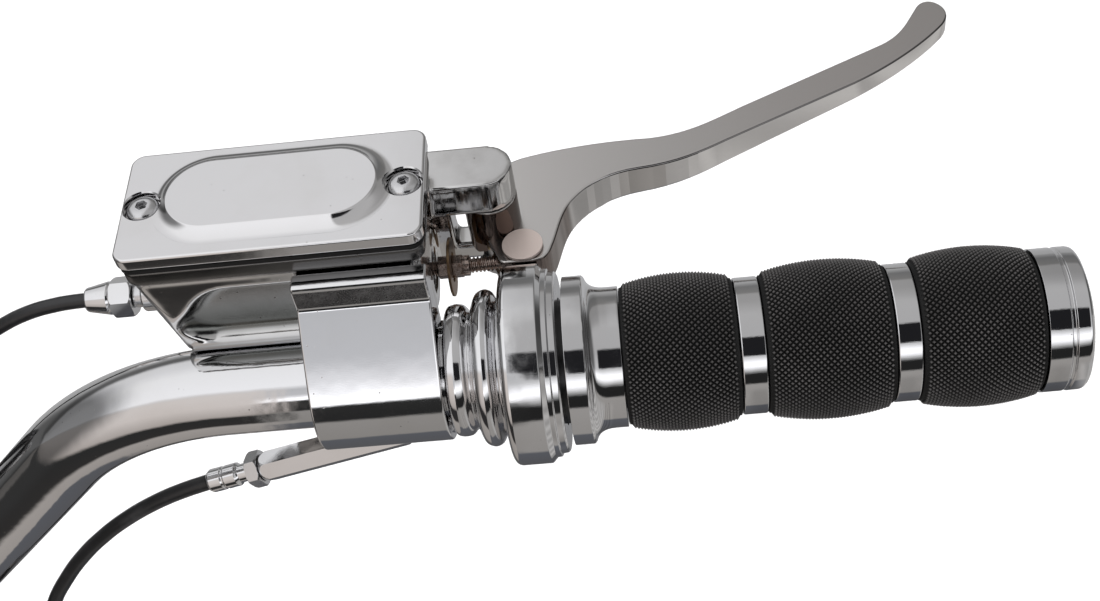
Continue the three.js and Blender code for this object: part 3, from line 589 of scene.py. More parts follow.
def piece(name, bm, material, body, nodes=(), sharp=38, extra=(), facet=None):
    """Finished piece: smooth but for its sharp edges and facets, at the origin, riding on its body."""
    for face in bm.faces:
        face.smooth = True
    for edge in bm.edges:
        edge.smooth = len(edge.link_faces) != 2 or edge.calc_face_angle(0) < math.radians(sharp)
        if facet and facet(edge):
            edge.smooth = False
    bmesh.ops.scale(bm, vec=(MM, MM, MM), verts=bm.verts)
    made = as_object(bm, name)
    flatter = made.modifiers.new("even shading", "WEIGHTED_NORMAL")
    flatter.keep_sharp = True
    for m in (material, *extra):
        made.data.materials.append(m)
    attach(made, body)
    if nodes:
        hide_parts(*nodes)
    return made


# ---------------------------------------------------------------- lines: throttle cable and hydraulic hose
BORE_Y, BORE_Z = 36.6, 3.0
CABLE_Y = 3.0
CABLE_EXIT = Vector((19.3, CABLE_Y, -24.6))
CABLE_SLOPE = math.radians(16)
CABLE_START = 87.8  # from the exit to where the sheath shows
CABLE_ROUTE = [
    (-75, -52.6), (-85, -57.6), (-98.4, -66.6), (-108, -74.8), (-117.6, -84.4), (-128, -97),
    (-138, -112), (-144, -126), (-147, -141)]
HOSE_ROUTE = [
    (-92.4, 3), (-97, 2.8), (-102, 2.2), (-111, 0), (-122, -5), (-133, -12), (-143, -20.6), (-151, -30),
    (-156, -41)]


PACKED = 1.04  # from one turn of a coil to the next, in thicknesses
CHANGE_AT = 0.78  # share of a turn after which the line moves over to the next turn's place


def smoothly(share):
    """From 0 to 1, starting and ending gently."""
    return share * share * (3 - 2 * share)


def round_coil(centre, radius, aside, share):
    """The point a share of a turn round a coil, going down first."""
    angle = TURN * share
    return centre + Vector((radius * math.cos(angle), aside, -radius * math.sin(angle)))


def coil_points(centre, middle, thickness, per_turn=16):
    """Three turns side by side over three more."""
    step = thickness * PACKED
    outer, inner = middle + step / 2, middle - step / 2
    seats = [(outer, -step), (outer, 0), (outer, step), (inner, step), (inner, 0), (inner, -step)]
    points = []
    for (radius, aside), (next_radius, next_aside) in zip(seats, seats[1:] + seats[-1:]):
        for i in range(per_turn):
            ease = smoothly(max(0.0, (i / per_turn - CHANGE_AT) / (1 - CHANGE_AT)))
            points.append(round_coil(
                centre, radius + (next_radius - radius) * ease, aside + (next_aside - aside) * ease,
                i / per_turn))
    return points


def line_off(centre, middle, aside, start_radius, start_aside, rise, per_turn=16):
    """The last half turn, out to beside the coil, then up into its fitting."""
    points = []
    for i in range(per_turn // 2 + 1):
        ease = smoothly(i / (per_turn // 2))
        radius = start_radius + (middle - start_radius) * ease
        points.append(round_coil(centre, radius, start_aside + (aside - start_aside) * ease, i / per_turn))
    points.append(points[-1] + Vector((0, 0, rise)))
    return points


def routed(start, route, y, thick, bundle, drift, coil, fitting):
    """The whole line: from its start along the route, drifting aside, round the coil, up into the fitting.

    Also the coil's centre, middle radius and width, for its tie.
    """
    (low, high), (fit_low, fit_high) = ends(coil), ends(fitting)
    centre, middle = (low + high) / 2, (high.x - low.x) / 2 - bundle / 2
    points = list(start)
    for i, (x, z) in enumerate(route):
        aside = drift * max(0.0, (i - 3) / 5) ** 2
        points.append(Vector((x, y - min(aside, drift), z)))
    points += coil_points(centre, middle, thick)
    points += line_off(
        centre, middle, (fit_low.y + fit_high.y) / 2 - y, middle - thick * PACKED / 2, -thick * PACKED,
        fit_low.z - centre.z + 0.4)
    return points, (centre, middle, high.y - low.y)


def flexible(name, points, thickness, nodes):
    """A line of one round section along a smooth route."""
    data = bpy.data.curves.new(name, "CURVE")
    data.dimensions = "3D"
    data.bevel_depth = thickness / 2 * MM
    data.bevel_resolution = 6
    data.resolution_u = 6
    data.use_fill_caps = True
    spline = data.splines.new("BEZIER")
    spline.bezier_points.add(len(points) - 1)
    for at, point in zip(spline.bezier_points, points):
        at.co = point * MM
        at.handle_left_type = at.handle_right_type = "AUTO"
    made = bpy.data.objects.new(name, data)
    bpy.context.scene.collection.objects.link(made)
    data.materials.append(SHEATH)
    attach(made, "perch")
    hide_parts(*nodes)
    return made


def coil_tie(name, coil, thick):
    """Strap round the bundle of turns, with its locking head, at the top of the coil."""
    centre, middle, wide = coil
    room, strap = 0.3, 1.0
    high, half = thick / 2 + room, wide / 2 + room
    inner = rounded_rectangle(0, 0, 2 * high, 2 * half, 2.2, 6)
    outer = rounded_rectangle(0, 0, 2 * (high + strap), 2 * (half + strap), 3.2, 6)
    width = 3.6
    band = cut(prism(outer, -width / 2, width / 2), prism(inner, -width, width))
    head = block(high + strap - 0.2, high + strap + 3.2, -2.6, 2.6, -2.6, 2.6)
    shape = fused(soften(band, 0.25, 50), soften(head, 0.6))
    turn = Matrix((Z_AXIS, Y_AXIS, Z_AXIS.cross(Y_AXIS))).transposed().to_4x4()
    stand = Matrix.Translation(centre + Z_AXIS * middle) @ turn
    bmesh.ops.transform(shape, matrix=stand, verts=shape.verts)
    return piece(name, shape, SHEATH, "perch")


CABLE_THICK, CABLE_BUNDLE, CABLE_DRIFT = 5.0, 10.4, 5.2
HOSE_THICK, HOSE_BUNDLE, HOSE_DRIFT = 4.5, 9.4, 4.7
cable_start = CABLE_EXIT + Vector((-math.cos(CABLE_SLOPE), 0, -math.sin(CABLE_SLOPE))) * CABLE_START
cable_points, cable_coil = routed(
    [cable_start], CABLE_ROUTE, CABLE_Y, CABLE_THICK, CABLE_BUNDLE, CABLE_DRIFT, "throttle_cable_coil",
    "cable_end_fitting")
hose_points, hose_coil = routed(
    [], HOSE_ROUTE, BORE_Y, HOSE_THICK, HOSE_BUNDLE, HOSE_DRIFT, "hydraulic_hose_coil", "hose_end_fitting")
throttle_cable = flexible(
    "throttle_cable_sheath", cable_points, CABLE_THICK, ["throttle_cable", "throttle_cable_coil"])
hydraulic_hose = flexible(
    "hydraulic_line", hose_points, HOSE_THICK, ["hydraulic_hose", "hydraulic_hose_coil"])
cable_tie = coil_tie("cable_coil_tie", cable_coil, CABLE_BUNDLE)
hose_tie = coil_tie("hose_coil_tie", hose_coil, HOSE_BUNDLE)


def foot(node):
    """Middle of a CAD node's lowest side, and the height of its highest."""
    low, high = ends(node)
    return (low.x + high.x) / 2, (low.y + high.y) / 2, low.z, high.z


def cable_end():
    """Ferrule, bare inner wire and barrel nipple."""
    x, y, z, top = foot("cable_end_fitting")
    shape = upright([
        (z, 0), (z, 2.9), (z + 0.4, 3.2), (z + 4.6, 3.2), (z + 5, 2.9), (z + 5.6, 2.9), (z + 6, 3.2),
        (z + 11, 3.2), (z + 12, 2.4), (z + 14.4, 2.4), (z + 14.4, 0.8), (z + 23, 0.8), (z + 23, 2.8),
        (top, 2.8), (top, 0)], x, y, round_off=0.15, sides=48)
    return piece("cable_end_nipple", shape, BRIGHT_STEEL, "perch", ["cable_end_fitting"])


def hose_end():
    """Crimped sleeve, nut and seat."""
    x, y, z, _ = foot("hose_end_fitting")
    sleeve = upright([
        (z, 0), (z, 3.6), (z + 1, 4.1), (z + 8, 5.2), (z + 9, 5.0), (z + 21.4, 5), (z + 22, 4.4),
        (z + 22, 0)], x, y, round_off=0.2, sides=64)
    nut = soften(prism(hexagon(x, y, 10.9), z + 10, z + 16), 0.4, 50)
    return piece(
        "hose_end_nut", fused(sleeve, nut), CHROME, "perch", ["hose_end_fitting"], sharp=30)


cable_nipple = cable_end()
hose_end_nut = hose_end()


# ---------------------------------------------------------------- handlebar
BAR_R, BAR_WALL = 12.7, 2.5
BAR_TIP_X, BEND_START_X = 177.0, -45.0
BEND_R, BEND_ANGLE, BAR_TAIL = 80.0, math.radians(46), 84.0


def handlebar():
    """Bent tube: drawn straight from its free end, spun round the bend, drawn on."""
    bm = bmesh.new()
    bmesh.ops.create_circle(
        bm, segments=ROUND, radius=BAR_R,
        matrix=Matrix.Translation((BAR_TIP_X, 0, 0)) @ Matrix.Rotation(TURN / 4, 4, "Y"))
    rim = bm.edges[:]

    def draw_on(way):
        out = bmesh.ops.extrude_edge_only(bm, edges=rim)["geom"]
        bmesh.ops.translate(bm, vec=way, verts=[g for g in out if isinstance(g, bmesh.types.BMVert)])
        return [g for g in out if isinstance(g, bmesh.types.BMEdge) and len(g.link_faces) == 1]

    rim = draw_on(Vector((BEND_START_X - BAR_TIP_X, 0, 0)))
    bend = bmesh.ops.spin(
        bm, geom=rim, cent=(BEND_START_X, 0, -BEND_R), axis=Y_AXIS, angle=-BEND_ANGLE, steps=40)
    rim = [g for g in bend["geom_last"] if isinstance(g, bmesh.types.BMEdge)]
    draw_on(Vector((-math.cos(BEND_ANGLE), 0, -math.sin(BEND_ANGLE))) * BAR_TAIL)
    closed(bm)
    bmesh.ops.solidify(bm, geom=bm.faces, thickness=BAR_WALL)
    return closed(bm)


piece("handlebar_tube", handlebar(), CHROME, "perch", ["handlebar"])

# ---------------------------------------------------------------- master cylinder
lid_low, lid_high = ends("reservoir_cover")
LID_X, LID_Y = (lid_low.x + lid_high.x) / 2, (lid_low.y + lid_high.y) / 2
LID_LONG, LID_DEEP, LID_CORNER = lid_high.x - lid_low.x, lid_high.y - lid_low.y, 4.0
LID_BOTTOM_Z, LID_TOP_Z = lid_low.z, lid_high.z - 2.6
FLANGE_Z = 40.2
SCREW_SPREAD = 35.9
PIVOT_X, PIVOT_Y, PIN_R = 32.3, 48.0, 4.0
EAR_R, EAR_Z = 8.0, (20.6, 32.4)
LOWER_EAR_R, LOWER_EAR_Z, YOKE_BACK_Y = 6.6, (-5.0, 1.6), 46.2
CLAMP_HALF, CLAMP_R, CLAMP_FACE_Y, SPLIT_Z = 18.2, 19.2, 0.6, -8.3
CLAMP_BOLT_X, CLAMP_BOLT_Y = 10, 20.6
TANK_WALL_Y = LID_Y - LID_DEEP / 2 + 0.9
HOLLOW = (-56, -13, 14, 35)  # left, right, lowest and highest edge of the hollow in the tank's wall
HOLLOW_DEEP, HOLLOW_LEVELS = 4.0, 6
# The clamp's slope is a flat arc that runs smoothly into its round.
BULGE_R, BULGE_WAY = 182, math.radians(-35)
BULGE = (
    (BULGE_R - CLAMP_R) * math.cos(BULGE_WAY), (BULGE_R - CLAMP_R) * math.sin(BULGE_WAY), BULGE_R)


def cast(bm, grain, passes):
    """One skin over everything, its corners melted a little, as a polished casting has them."""
    thing = as_object(bm)
    step = thing.modifiers.new("skin", "REMESH")
    step.mode = "VOXEL"
    step.voxel_size = grain
    bm = settled(thing)
    for _ in range(passes):
        bmesh.ops.smooth_vert(
            bm, verts=bm.verts, factor=0.5, use_axis_x=True, use_axis_y=True, use_axis_z=True)
    return bm


def ear(radius, near_y, low, high):
    """One side of the yoke, round its pivot."""
    neck_x = 12
    start = math.degrees(math.asin((near_y - PIVOT_Y) / radius))
    outline = [
        (neck_x, near_y), *arc(PIVOT_X, PIVOT_Y, radius, start + 1e-3, 90), (neck_x, PIVOT_Y + radius)]
    return prism(outline, low, high)


def wall_hollow():
    """Tool for the rounded hollow in the wall of the tank, above the bar."""
    centre = Vector((-32, 25))
    outline = sweep(
        (-55, 20), [(-54, 16.6), (-50, 14.2), (-44, 14.2)], [(-16, 14.2)],
        [(-14.6, 14.2), (-14, 15), (-14, 17)], [(-14, 32)], [(-14, 34.2), (-15, 35.2), (-17, 35.2)],
        [(-36, 35.2)], [(-44, 35.2), (-47, 31), (-50, 27)], [(-52, 24.4), (-55.4, 22.4), (-55, 20)],
        count=8)[:-1]
    levels = [(-1, outline)]
    for i in range(HOLLOW_LEVELS + 1):
        angle = TURN / 4 * i / HOLLOW_LEVELS
        shrink = 1 - 0.3 * (1 - math.cos(angle))
        shrunk = [tuple(centre + (Vector(p) - centre) * shrink) for p in outline]
        levels.append((HOLLOW_DEEP * math.sin(angle), shrunk))
    tool = stacked(levels)
    stand = Matrix(((1, 0, 0, 0), (0, 0, 1, TANK_WALL_Y - 0.2), (0, 1, 0, 0), (0, 0, 0, 1)))
    bmesh.ops.transform(tool, matrix=stand, verts=tool.verts)
    return closed(tool)


def master_cylinder():
    """Tank, cylinder, saddle on the bar and yoke, cast in one and bored."""
    rear_y = LID_Y + LID_DEEP / 2 - 1
    middle_y, deep = (TANK_WALL_Y + rear_y) / 2, rear_y - TANK_WALL_Y
    flange = stacked([
        (FLANGE_Z - 1.2, rounded_rectangle(LID_X, LID_Y, 78, 36, 3)),
        (FLANGE_Z, rounded_rectangle(LID_X, LID_Y, 81.6, 38.8, 3.4)),
        (FLANGE_Z + 4.4, rounded_rectangle(LID_X, LID_Y, 81.6, 38.8, 3.4))])
    tank = stacked([
        (6, rounded_rectangle(-20.3, middle_y, 68, deep, 3)),
        (FLANGE_Z, rounded_rectangle(LID_X - 0.2, middle_y, 79, deep, 3))])
    solid = together(
        flange, tank,
        rod_x(-66, 13.5, 12, BORE_Y, BORE_Z),
        block(-53, CLAMP_HALF - 4, 5.2, 30, -2, 13),
        block(-CLAMP_HALF, CLAMP_HALF - 4, 12, 26.5, SPLIT_Z, 6),
        block(2, 20, YOKE_BACK_Y, PIVOT_Y + EAR_R, LOWER_EAR_Z[0], EAR_Z[1]),
        ear(EAR_R, PIVOT_Y - EAR_R + 0.01, *EAR_Z),
        ear(LOWER_EAR_R, YOKE_BACK_Y, *LOWER_EAR_Z))
    solid = cast(solid, 0.6, 0)
    tools = [
        wall_hollow(),
        stacked([
            (17, rounded_rectangle(LID_X, LID_Y + 1, 52, 24, 4)),
            (FLANGE_Z + 6, rounded_rectangle(LID_X, LID_Y + 1, 58, 27, 5))]),
        rod_x(-56, CLAMP_HALF, BAR_R + 0.3),
        rod_x(-48, 14.5, 8, BORE_Y, BORE_Z),
        post_z(PIVOT_X, PIVOT_Y, PIN_R + 0.15, LOWER_EAR_Z[0] - 1, 29.6)]
    for side in (-1, 1):
        tools.append(post_z(LID_X + side * SCREW_SPREAD, LID_Y, 2.3, 31, FLANGE_Z + 5))
        tools.append(post_z(side * CLAMP_BOLT_X, CLAMP_BOLT_Y, 3, SPLIT_Z - 1, 5))
    return cast(cut(solid, *tools), 0.6, 4)


ALLOY = satin_alloy("satin_alloy", (PIVOT_X, PIVOT_Y))
TANK_CHROME = tank_plate("tank_chrome", FLANGE_Z, TANK_WALL_Y, HOLLOW)
piece(
    "master_cylinder_casting", master_cylinder(), TANK_CHROME, "perch",
    ["master_cylinder_body"], sharp=80)


def clamp_half():
    """Front half of the clamp over a faintly bulging slope, its upright face given the grained finish with
    painted shade.
    """
    outline = [
        (6.1, 39.4), (CLAMP_FACE_Y + 1.6, 39.4), (CLAMP_FACE_Y + 0.5, 38.9), (CLAMP_FACE_Y, 37.8),
        (CLAMP_FACE_Y, 31.6), (CLAMP_FACE_Y - 0.4, 30.6), *arc(*BULGE, 137.2, 144.9, 14),
        *arc(0, 0, CLAMP_R, 145.2, 278, 72), (24.5, -CLAMP_R), (26.5, -CLAMP_R + 2), (26.5, SPLIT_Z - 0.3),
        (4.9, SPLIT_Z - 0.3), (4.9, 13.4), (6.1, 13.4)]
    blank = soften(prism(outline, -CLAMP_HALF, CLAMP_HALF, "x"), 1.1, 60, 5)
    tools = [rod_x(-CLAMP_HALF - 1, CLAMP_HALF + 1, BAR_R + 0.3)]
    for side in (-1, 1):
        tools.append(post_z(side * CLAMP_BOLT_X, CLAMP_BOLT_Y, 4.9, -CLAMP_R - 1, -14.4))
        tools.append(post_z(side * CLAMP_BOLT_X, CLAMP_BOLT_Y, 3, -CLAMP_R - 1, SPLIT_Z))
    bm = cut(blank, *tools)
    # the upright face takes the second finish: grain, darkened with painted shade
    for face in bm.faces:
        middle = face.calc_center_median()
        if face.normal.y < -0.98 and middle.z > 30 and abs(middle.x) < CLAMP_HALF - 1:
            face.material_index = 1
    return bm


piece(
    "bar_clamp", clamp_half(), CHROME, "perch", ["handlebar_clamp"], sharp=30, extra=[GRAIN_AND_SHADE])


# ---------------------------------------------------------------- reservoir lid
PANEL_LONG, PANEL_DEEP = 67, 34
COVE, PANEL_HIGH, LIP = 4.6, 1.95, 0.45  # reach and rise of the hollow flank, and round of its top edge


def panel_level(inset, rise):
    """Outline of the raised oval panel, drawn in from its foot."""
    long, deep = PANEL_LONG - 2 * inset, PANEL_DEEP - 2 * inset
    return LID_TOP_Z + rise, rounded_rectangle(LID_X, LID_Y + 0.6, long, deep, deep / 2 - 0.01, 28)


def reservoir_lid():
    """Plate with a raised panel, whose hollow flank runs out into the plate."""
    outline = rounded_rectangle(LID_X, LID_Y, LID_LONG, LID_DEEP, LID_CORNER, 20)
    plate = soften(prism(outline, LID_BOTTOM_Z, LID_TOP_Z), 0.8, 60, 4)
    levels = [panel_level(-0.3, -0.6)]
    steps, half = 14, math.sin(TURN / 8)
    for i in range(steps + 1):
        share = i / steps
        levels.append(panel_level(COVE * share, PANEL_HIGH * share ** 2.1 + 0.02))
    for i in range(1, 5):
        angle = TURN / 8 * (1 + i / 4)
        levels.append(panel_level(
            COVE + LIP * (half - math.cos(angle)), PANEL_HIGH + LIP * (math.sin(angle) - half)))
    tools = []
    top = LID_TOP_Z
    for side in (-1, 1):
        x = LID_X + side * SCREW_SPREAD
        tools.append(upright([
            (top - 2.6, 0), (top - 2.6, 5.0), (top - 2.4, 5.2), (top - 0.35, 5.2), (top + 0.05, 5.6),
            (top + 4, 5.7), (top + 4, 0)], x, LID_Y, round_off=0, sides=80))
        tools.append(post_z(x, LID_Y, 2.4, LID_BOTTOM_Z - 1, top))
    return cut(fused(plate, stacked(levels)), *tools)


piece("reservoir_lid", reservoir_lid(), LID_CHROME, "perch", ["reservoir_cover"], sharp=32)


def lid_screw(node):
    """Button head with a hexagon socket."""
    x, y, low, high = foot(node)
    seat = high - 2.6
    dome = [(seat + 0.5 + 2.1 * math.sin(math.radians(a)), 1.9 + 2.7 * math.cos(math.radians(a)))
            for a in (0, 15, 30, 45, 60, 75, 90)]
    blank = upright([
        (low, 0), (low, 1.6), (low + 0.5, 2.1), (seat, 2.1), (seat, 4.6), *dome, (high, 0)],
        x, y, round_off=0.08, sides=72)
    return cut(blank, soften(prism(hexagon(x, y, 3.1, 0.35), seat + 0.9, seat + 5), 0.12, 50))


for side in ("left", "right"):
    piece(
        f"lid_screw_{side}", lid_screw(f"cover_screw_{side}"), BRIGHT_STEEL, "perch",
        [f"cover_screw_{side}"], sharp=32)


def cap_screw(node, head_high, head_r, shank_r, across):
    """Socket head screw that points up."""
    x, y, low, high = foot(node)
    blank = upright([
        (low, 0), (low, head_r - 0.4), (low + 0.4, head_r), (low + head_high, head_r),
        (low + head_high, shank_r), (high - 0.6, shank_r), (high, shank_r - 0.6), (high, 0)],
        x, y, round_off=0.12, sides=64)
    return cut(blank, prism(hexagon(x, y, across), low - 1, low + head_high * 0.6))


for side in ("left", "right"):
    piece(
        f"clamp_bolt_{side}", cap_screw(f"clamp_screw_{side}", 4.1, 4.4, 2.7, 4), STEEL, "perch",
        [f"clamp_screw_{side}"], sharp=32)
piece(
    "lever_pivot_bolt", cap_screw("pivot_screw", 3.4, 6, PIN_R, 5), STEEL, "perch",
    ["pivot_screw"], sharp=32)

# ---------------------------------------------------------------- lever
LEVER_Z = (-3.0, 9.0)
BARREL_X, BARREL_R = 40.6, 4.8
FILED_X, FILED_Y = (60, 96), 71  # where the blade's inner side shows the file's facets


def lever_outline():
    """From the corner by the large ring along the inner side to the tip, and back by the outer side."""
    return sweep(
        (35.4, 30.9), [(43.5, 30.9)], [(46.5, 31), (48.4, 32.8), (49.2, 36)],
        [(51.4, 42), (51.8, 48.6), (56, 54)],
        [(61, 60.6), (67.5, 63.8), (76, 64.5), 8], [(88, 65.2), (96, 69.2), (103, 72.7), 8], [(145, 92.5)],
        [(158, 99), (170, 108.5), (176.6, 116)], [(180, 120.4), (179.4, 124.4), (176.6, 127)],
        [(174.4, 129), (171.8, 128.4), (170.2, 126.2)], [(166, 119.6), (163.6, 113.4), (156, 109.4)],
        [(109, 87)], [(99.5, 82.2), (92, 77.6), (80, 77.2)], [(66, 77.8), (52, 76.4), (41, 73.8)],
        [(31, 71), (25.4, 62), (PIVOT_X - EAR_R, 54)], [(PIVOT_X - EAR_R, PIVOT_Y)], [(30.2, 40)],
        [(33.4, 32)], [(33.8, 31.3), (34.4, 31), (35.4, 30.9)])[:-1]


def lever():
    """Blade cut from plate, thinner towards its tip from below, with the hub between the ears."""
    low, high = LEVER_Z
    side = [
        (20, low - 1), (20, high + 1), (182, high + 1), (182, 3), (150, 2), (100, -0.6), (66, -2.6),
        (60, low - 1)]
    blade = combined(prism(lever_outline(), low, high), "INTERSECT", prism(side, 10, 150, "y"))
    soften(blade, 0.8, 55, 4)
    hub = post_z(PIVOT_X, PIVOT_Y, EAR_R, LOWER_EAR_Z[1] + 0.3, EAR_Z[0] - 0.3, 96)
    soften(hub, 0.5, 55, 3)
    return cut(
        fused(blade, hub),
        post_z(PIVOT_X, PIVOT_Y, LOWER_EAR_R + 0.5, low - 1, LOWER_EAR_Z[1] + 0.3),
        block(20, 30.8, 42, 58, low - 1, LOWER_EAR_Z[1] + 0.3),
        block(26, 37.4, 28, 42.6, BORE_Z - 3.7, BORE_Z + 3.7),
        post_z(BARREL_X, BORE_Y, BARREL_R + 0.3, low - 1, high + 1),
        post_z(PIVOT_X, PIVOT_Y, 6.1, LOWER_EAR_Z[1], EAR_Z[0]))


def hand_filed(edge):
    """The blade's inner side keeps the file's facets where it swells from the hub."""
    middle = (edge.verts[0].co + edge.verts[1].co) / 2
    upright_faces = all(abs(face.normal.z) < 0.2 for face in edge.link_faces)
    inner_side = FILED_X[0] < middle.x < FILED_X[1] and middle.y < FILED_Y
    return inner_side and upright_faces and edge.calc_face_angle(0) > math.radians(2)


piece(
    "lever_blade", lever(), ALLOY, "lever", ["clutch_lever"], sharp=30, facet=hand_filed)


def barrel():
    """Cross barrel with its broad turned face."""
    low, high = ends("cross_barrel")
    body = upright([
        (low.z, 0), (low.z, BARREL_R - 0.4), (low.z + 0.4, BARREL_R), (high.z - 1, BARREL_R),
        (high.z - 1, 6), (high.z, 6), (high.z, 0)], BARREL_X, BORE_Y, round_off=0.16, sides=80)
    return cut(body, rod_x(BARREL_X - 8, BARREL_X + 3.4, 2.9, BORE_Y, BORE_Z))


piece("lever_barrel", barrel(), DISC, "pushrod_assembly", ["cross_barrel"], sharp=30)


def threaded_rod():
    """Plain tip in the piston, then a thread cut up to the barrel."""
    low, high = ends("pushrod")
    pitch, per_turn, crest, root = 1.15, 28, 2.35, 1.8
    start, end = low.x + 10, high.x - 0.4
    core = turned([
        (low.x, 0), (low.x + 0.4, 1.3), (low.x + 1.4, 2), (start, 2.1), (start, root + 0.05),
        (end, root + 0.05), (end, root), (high.x, 1.8), (high.x, 0)],
        BORE_Y, BORE_Z, round_off=0.1, sides=56)
    thread = bmesh.new()
    half = pitch / 2
    section = [
        (start, root - 0.3), (start, root), (start + half * 0.72, crest), (start + half * 1.12, crest),
        (start + pitch * 0.92, root), (start + pitch * 0.92, root - 0.3)]
    verts, edges = chain(thread, [(x, BORE_Y, BORE_Z + r) for x, r in section], close=True)
    turns = (end - start) / pitch - 1
    steps = int(turns * per_turn)
    bmesh.ops.spin(
        thread, geom=verts + edges, cent=(0, BORE_Y, BORE_Z), axis=X_AXIS, dvec=(pitch / per_turn, 0, 0),
        angle=TURN * steps / per_turn, steps=steps)
    bmesh.ops.holes_fill(thread, edges=[e for e in thread.edges if e.is_boundary])
    return together(core, closed(thread))


piece("threaded_pushrod", threaded_rod(), RUST, "pushrod_assembly", ["pushrod"], sharp=40)


def rod_sleeve():
    """Hexagon sleeve with a turned collar at the thread's end."""
    low, high = ends("rod_adjuster")
    hexed = soften(prism(hexagon(BORE_Y, BORE_Z, 6.2), low.x, high.x - 2, "x"), 0.3, 50)
    collar = turned([
        (high.x - 3, 0), (high.x - 3, 2.8), (high.x - 1.6, 3.1), (high.x, 3.1), (high.x, 0)],
        BORE_Y, BORE_Z, round_off=0.25, sides=64)
    return cut(fused(hexed, collar), rod_x(low.x - 1, high.x + 1, 2.5, BORE_Y, BORE_Z))


piece("rod_sleeve", rod_sleeve(), RUST, "pushrod_assembly", ["rod_adjuster"], sharp=30)


def washer():
    """Thin loose ring at the cylinder's mouth."""
    low, high = ends("dust_washer")
    return turned(
        [(low.x, 4.5), (high.x, 4.5), (high.x, 8.8), (low.x, 8.8)], BORE_Y, BORE_Z, round_off=0.2)


piece("thin_washer", washer(), TARNISH, "pushrod_assembly", ["dust_washer"])


# ---------------------------------------------------------------- throttle housing
def eased(points, count=6):
    """The same profile as one smooth curve through its points."""
    line = []
    for i in range(len(points) - 1):
        before, a, b, after = (
            Vector(points[min(max(k, 0), len(points) - 1)]) for k in (i - 1, i, i + 1, i + 2))
        for k in range(count):
            t = k / count
            line.append(tuple(0.5 * (
                2 * a + (b - before) * t + (2 * before - 5 * a + 4 * b - after) * t ** 2
                + (3 * a - before - 3 * b + after) * t ** 3)))
    return [*line, tuple(points[-1])]


def swung(bm, start, slope):
    """From along +X to the throttle cable's way down to the left."""
    turn = Matrix.Rotation(TURN / 2 - slope, 4, "Y")
    bmesh.ops.transform(bm, matrix=Matrix.Translation(start) @ turn, verts=bm.verts)
    return bm


def throttle_beads():
    """Two rounded beads round the bar, with the cable's socket under the second."""
    inner = BAR_R + 0.3
    beads = turned([
        (18.8, inner),
        *eased([
            (18.8, 15), (19, 16.9), (19.7, 18.15), (21, 18.6), (22.4, 18.65), (23.8, 18.3), (24.8, 17.3),
            (25.3, 16.5), (25.7, 16.3), (26.1, 17), (26.7, 19), (27.7, 21.1), (29.2, 22), (30.6, 22.05),
            (32, 21.3), (32.9, 19.8), (33.5, 19), (34.1, 18.7), (34.6, 18.8)]),
        (34.6, inner)], round_off=0)
    socket = swung(
        turned([(-8, 0), (-8, 5.2), (-0.6, 5.6), (-0.3, 5.4), (-0.3, 0)], round_off=0.2, sides=64),
        CABLE_EXIT, CABLE_SLOPE)
    return cut(fused(beads, socket), rod_x(10, 40, inner))


piece("throttle_beads", throttle_beads(), CHROME, "perch", ["throttle_housing"], sharp=34)


def throttle_drum():
    """Large ring: full round shoulder to the left, chamfer and steps to the right."""
    x = ends("throttle_ring")[0].x
    profile = [(0, 23.6)] + eased([(0.04, 23.8), (0.2, 26), (0.75, 27.2), (1.5, 27.8), (2.3, 28)], 4) + [
        (10.4, 28), (10.7, 27.9), (12, 26.5), (13.3, 26.4), (13.5, 25.6), (15.2, 25.4), (15.7, 24.7),
        (15.7, 17.9), (13.7, 17.9), (13.7, 22.4), (2.5, 22.4), (2.5, BAR_R + 0.3), (0, BAR_R + 0.3)]
    return turned([(x + u, radius) for u, radius in profile], round_off=0.16, sides=144)


piece("throttle_drum", throttle_drum(), CHROME, "perch", ["throttle_ring"], sharp=34)

# ---------------------------------------------------------------- twist grip
TUBE_R = 14.6


def throttle_sleeve():
    """Tube that the grip turns on, with its drum inside the large ring."""
    low, high = ends("throttle_tube")
    return turned([
        (low.x, BAR_R + 0.15), (low.x, 21.4), (low.x + 10, 21.4), (low.x + 10, 17.4), (low.x + 14, 17.4),
        (low.x + 14, TUBE_R), (high.x, TUBE_R), (high.x, BAR_R + 0.15)], round_off=0.2)


piece("throttle_sleeve", throttle_sleeve(), SHEATH, "grip", ["throttle_tube"])


def grip_flange():
    """Flange and waisted neck, inner end of the grip."""
    x = ends("grip_collar")[0].x
    neck = eased([
        (5.3, 23.6), (5.9, 23), (6.5, 21.7), (7.6, 20.6), (9.4, 19.9), (11.6, 19.7), (15.1, 19.7)], 5)
    profile = [(0, TUBE_R + 0.3), (0, 23.6), *neck, (15.1, TUBE_R + 0.3)]
    return turned([(x + u, radius) for u, radius in profile], round_off=0.3, sides=128)


piece("grip_flange", grip_flange(), CHROME, "grip", ["grip_collar"], sharp=34)


KNURL_PITCH, KNURL_HIGH, KNURL_SUNK = 1.72, 0.95, 0.5


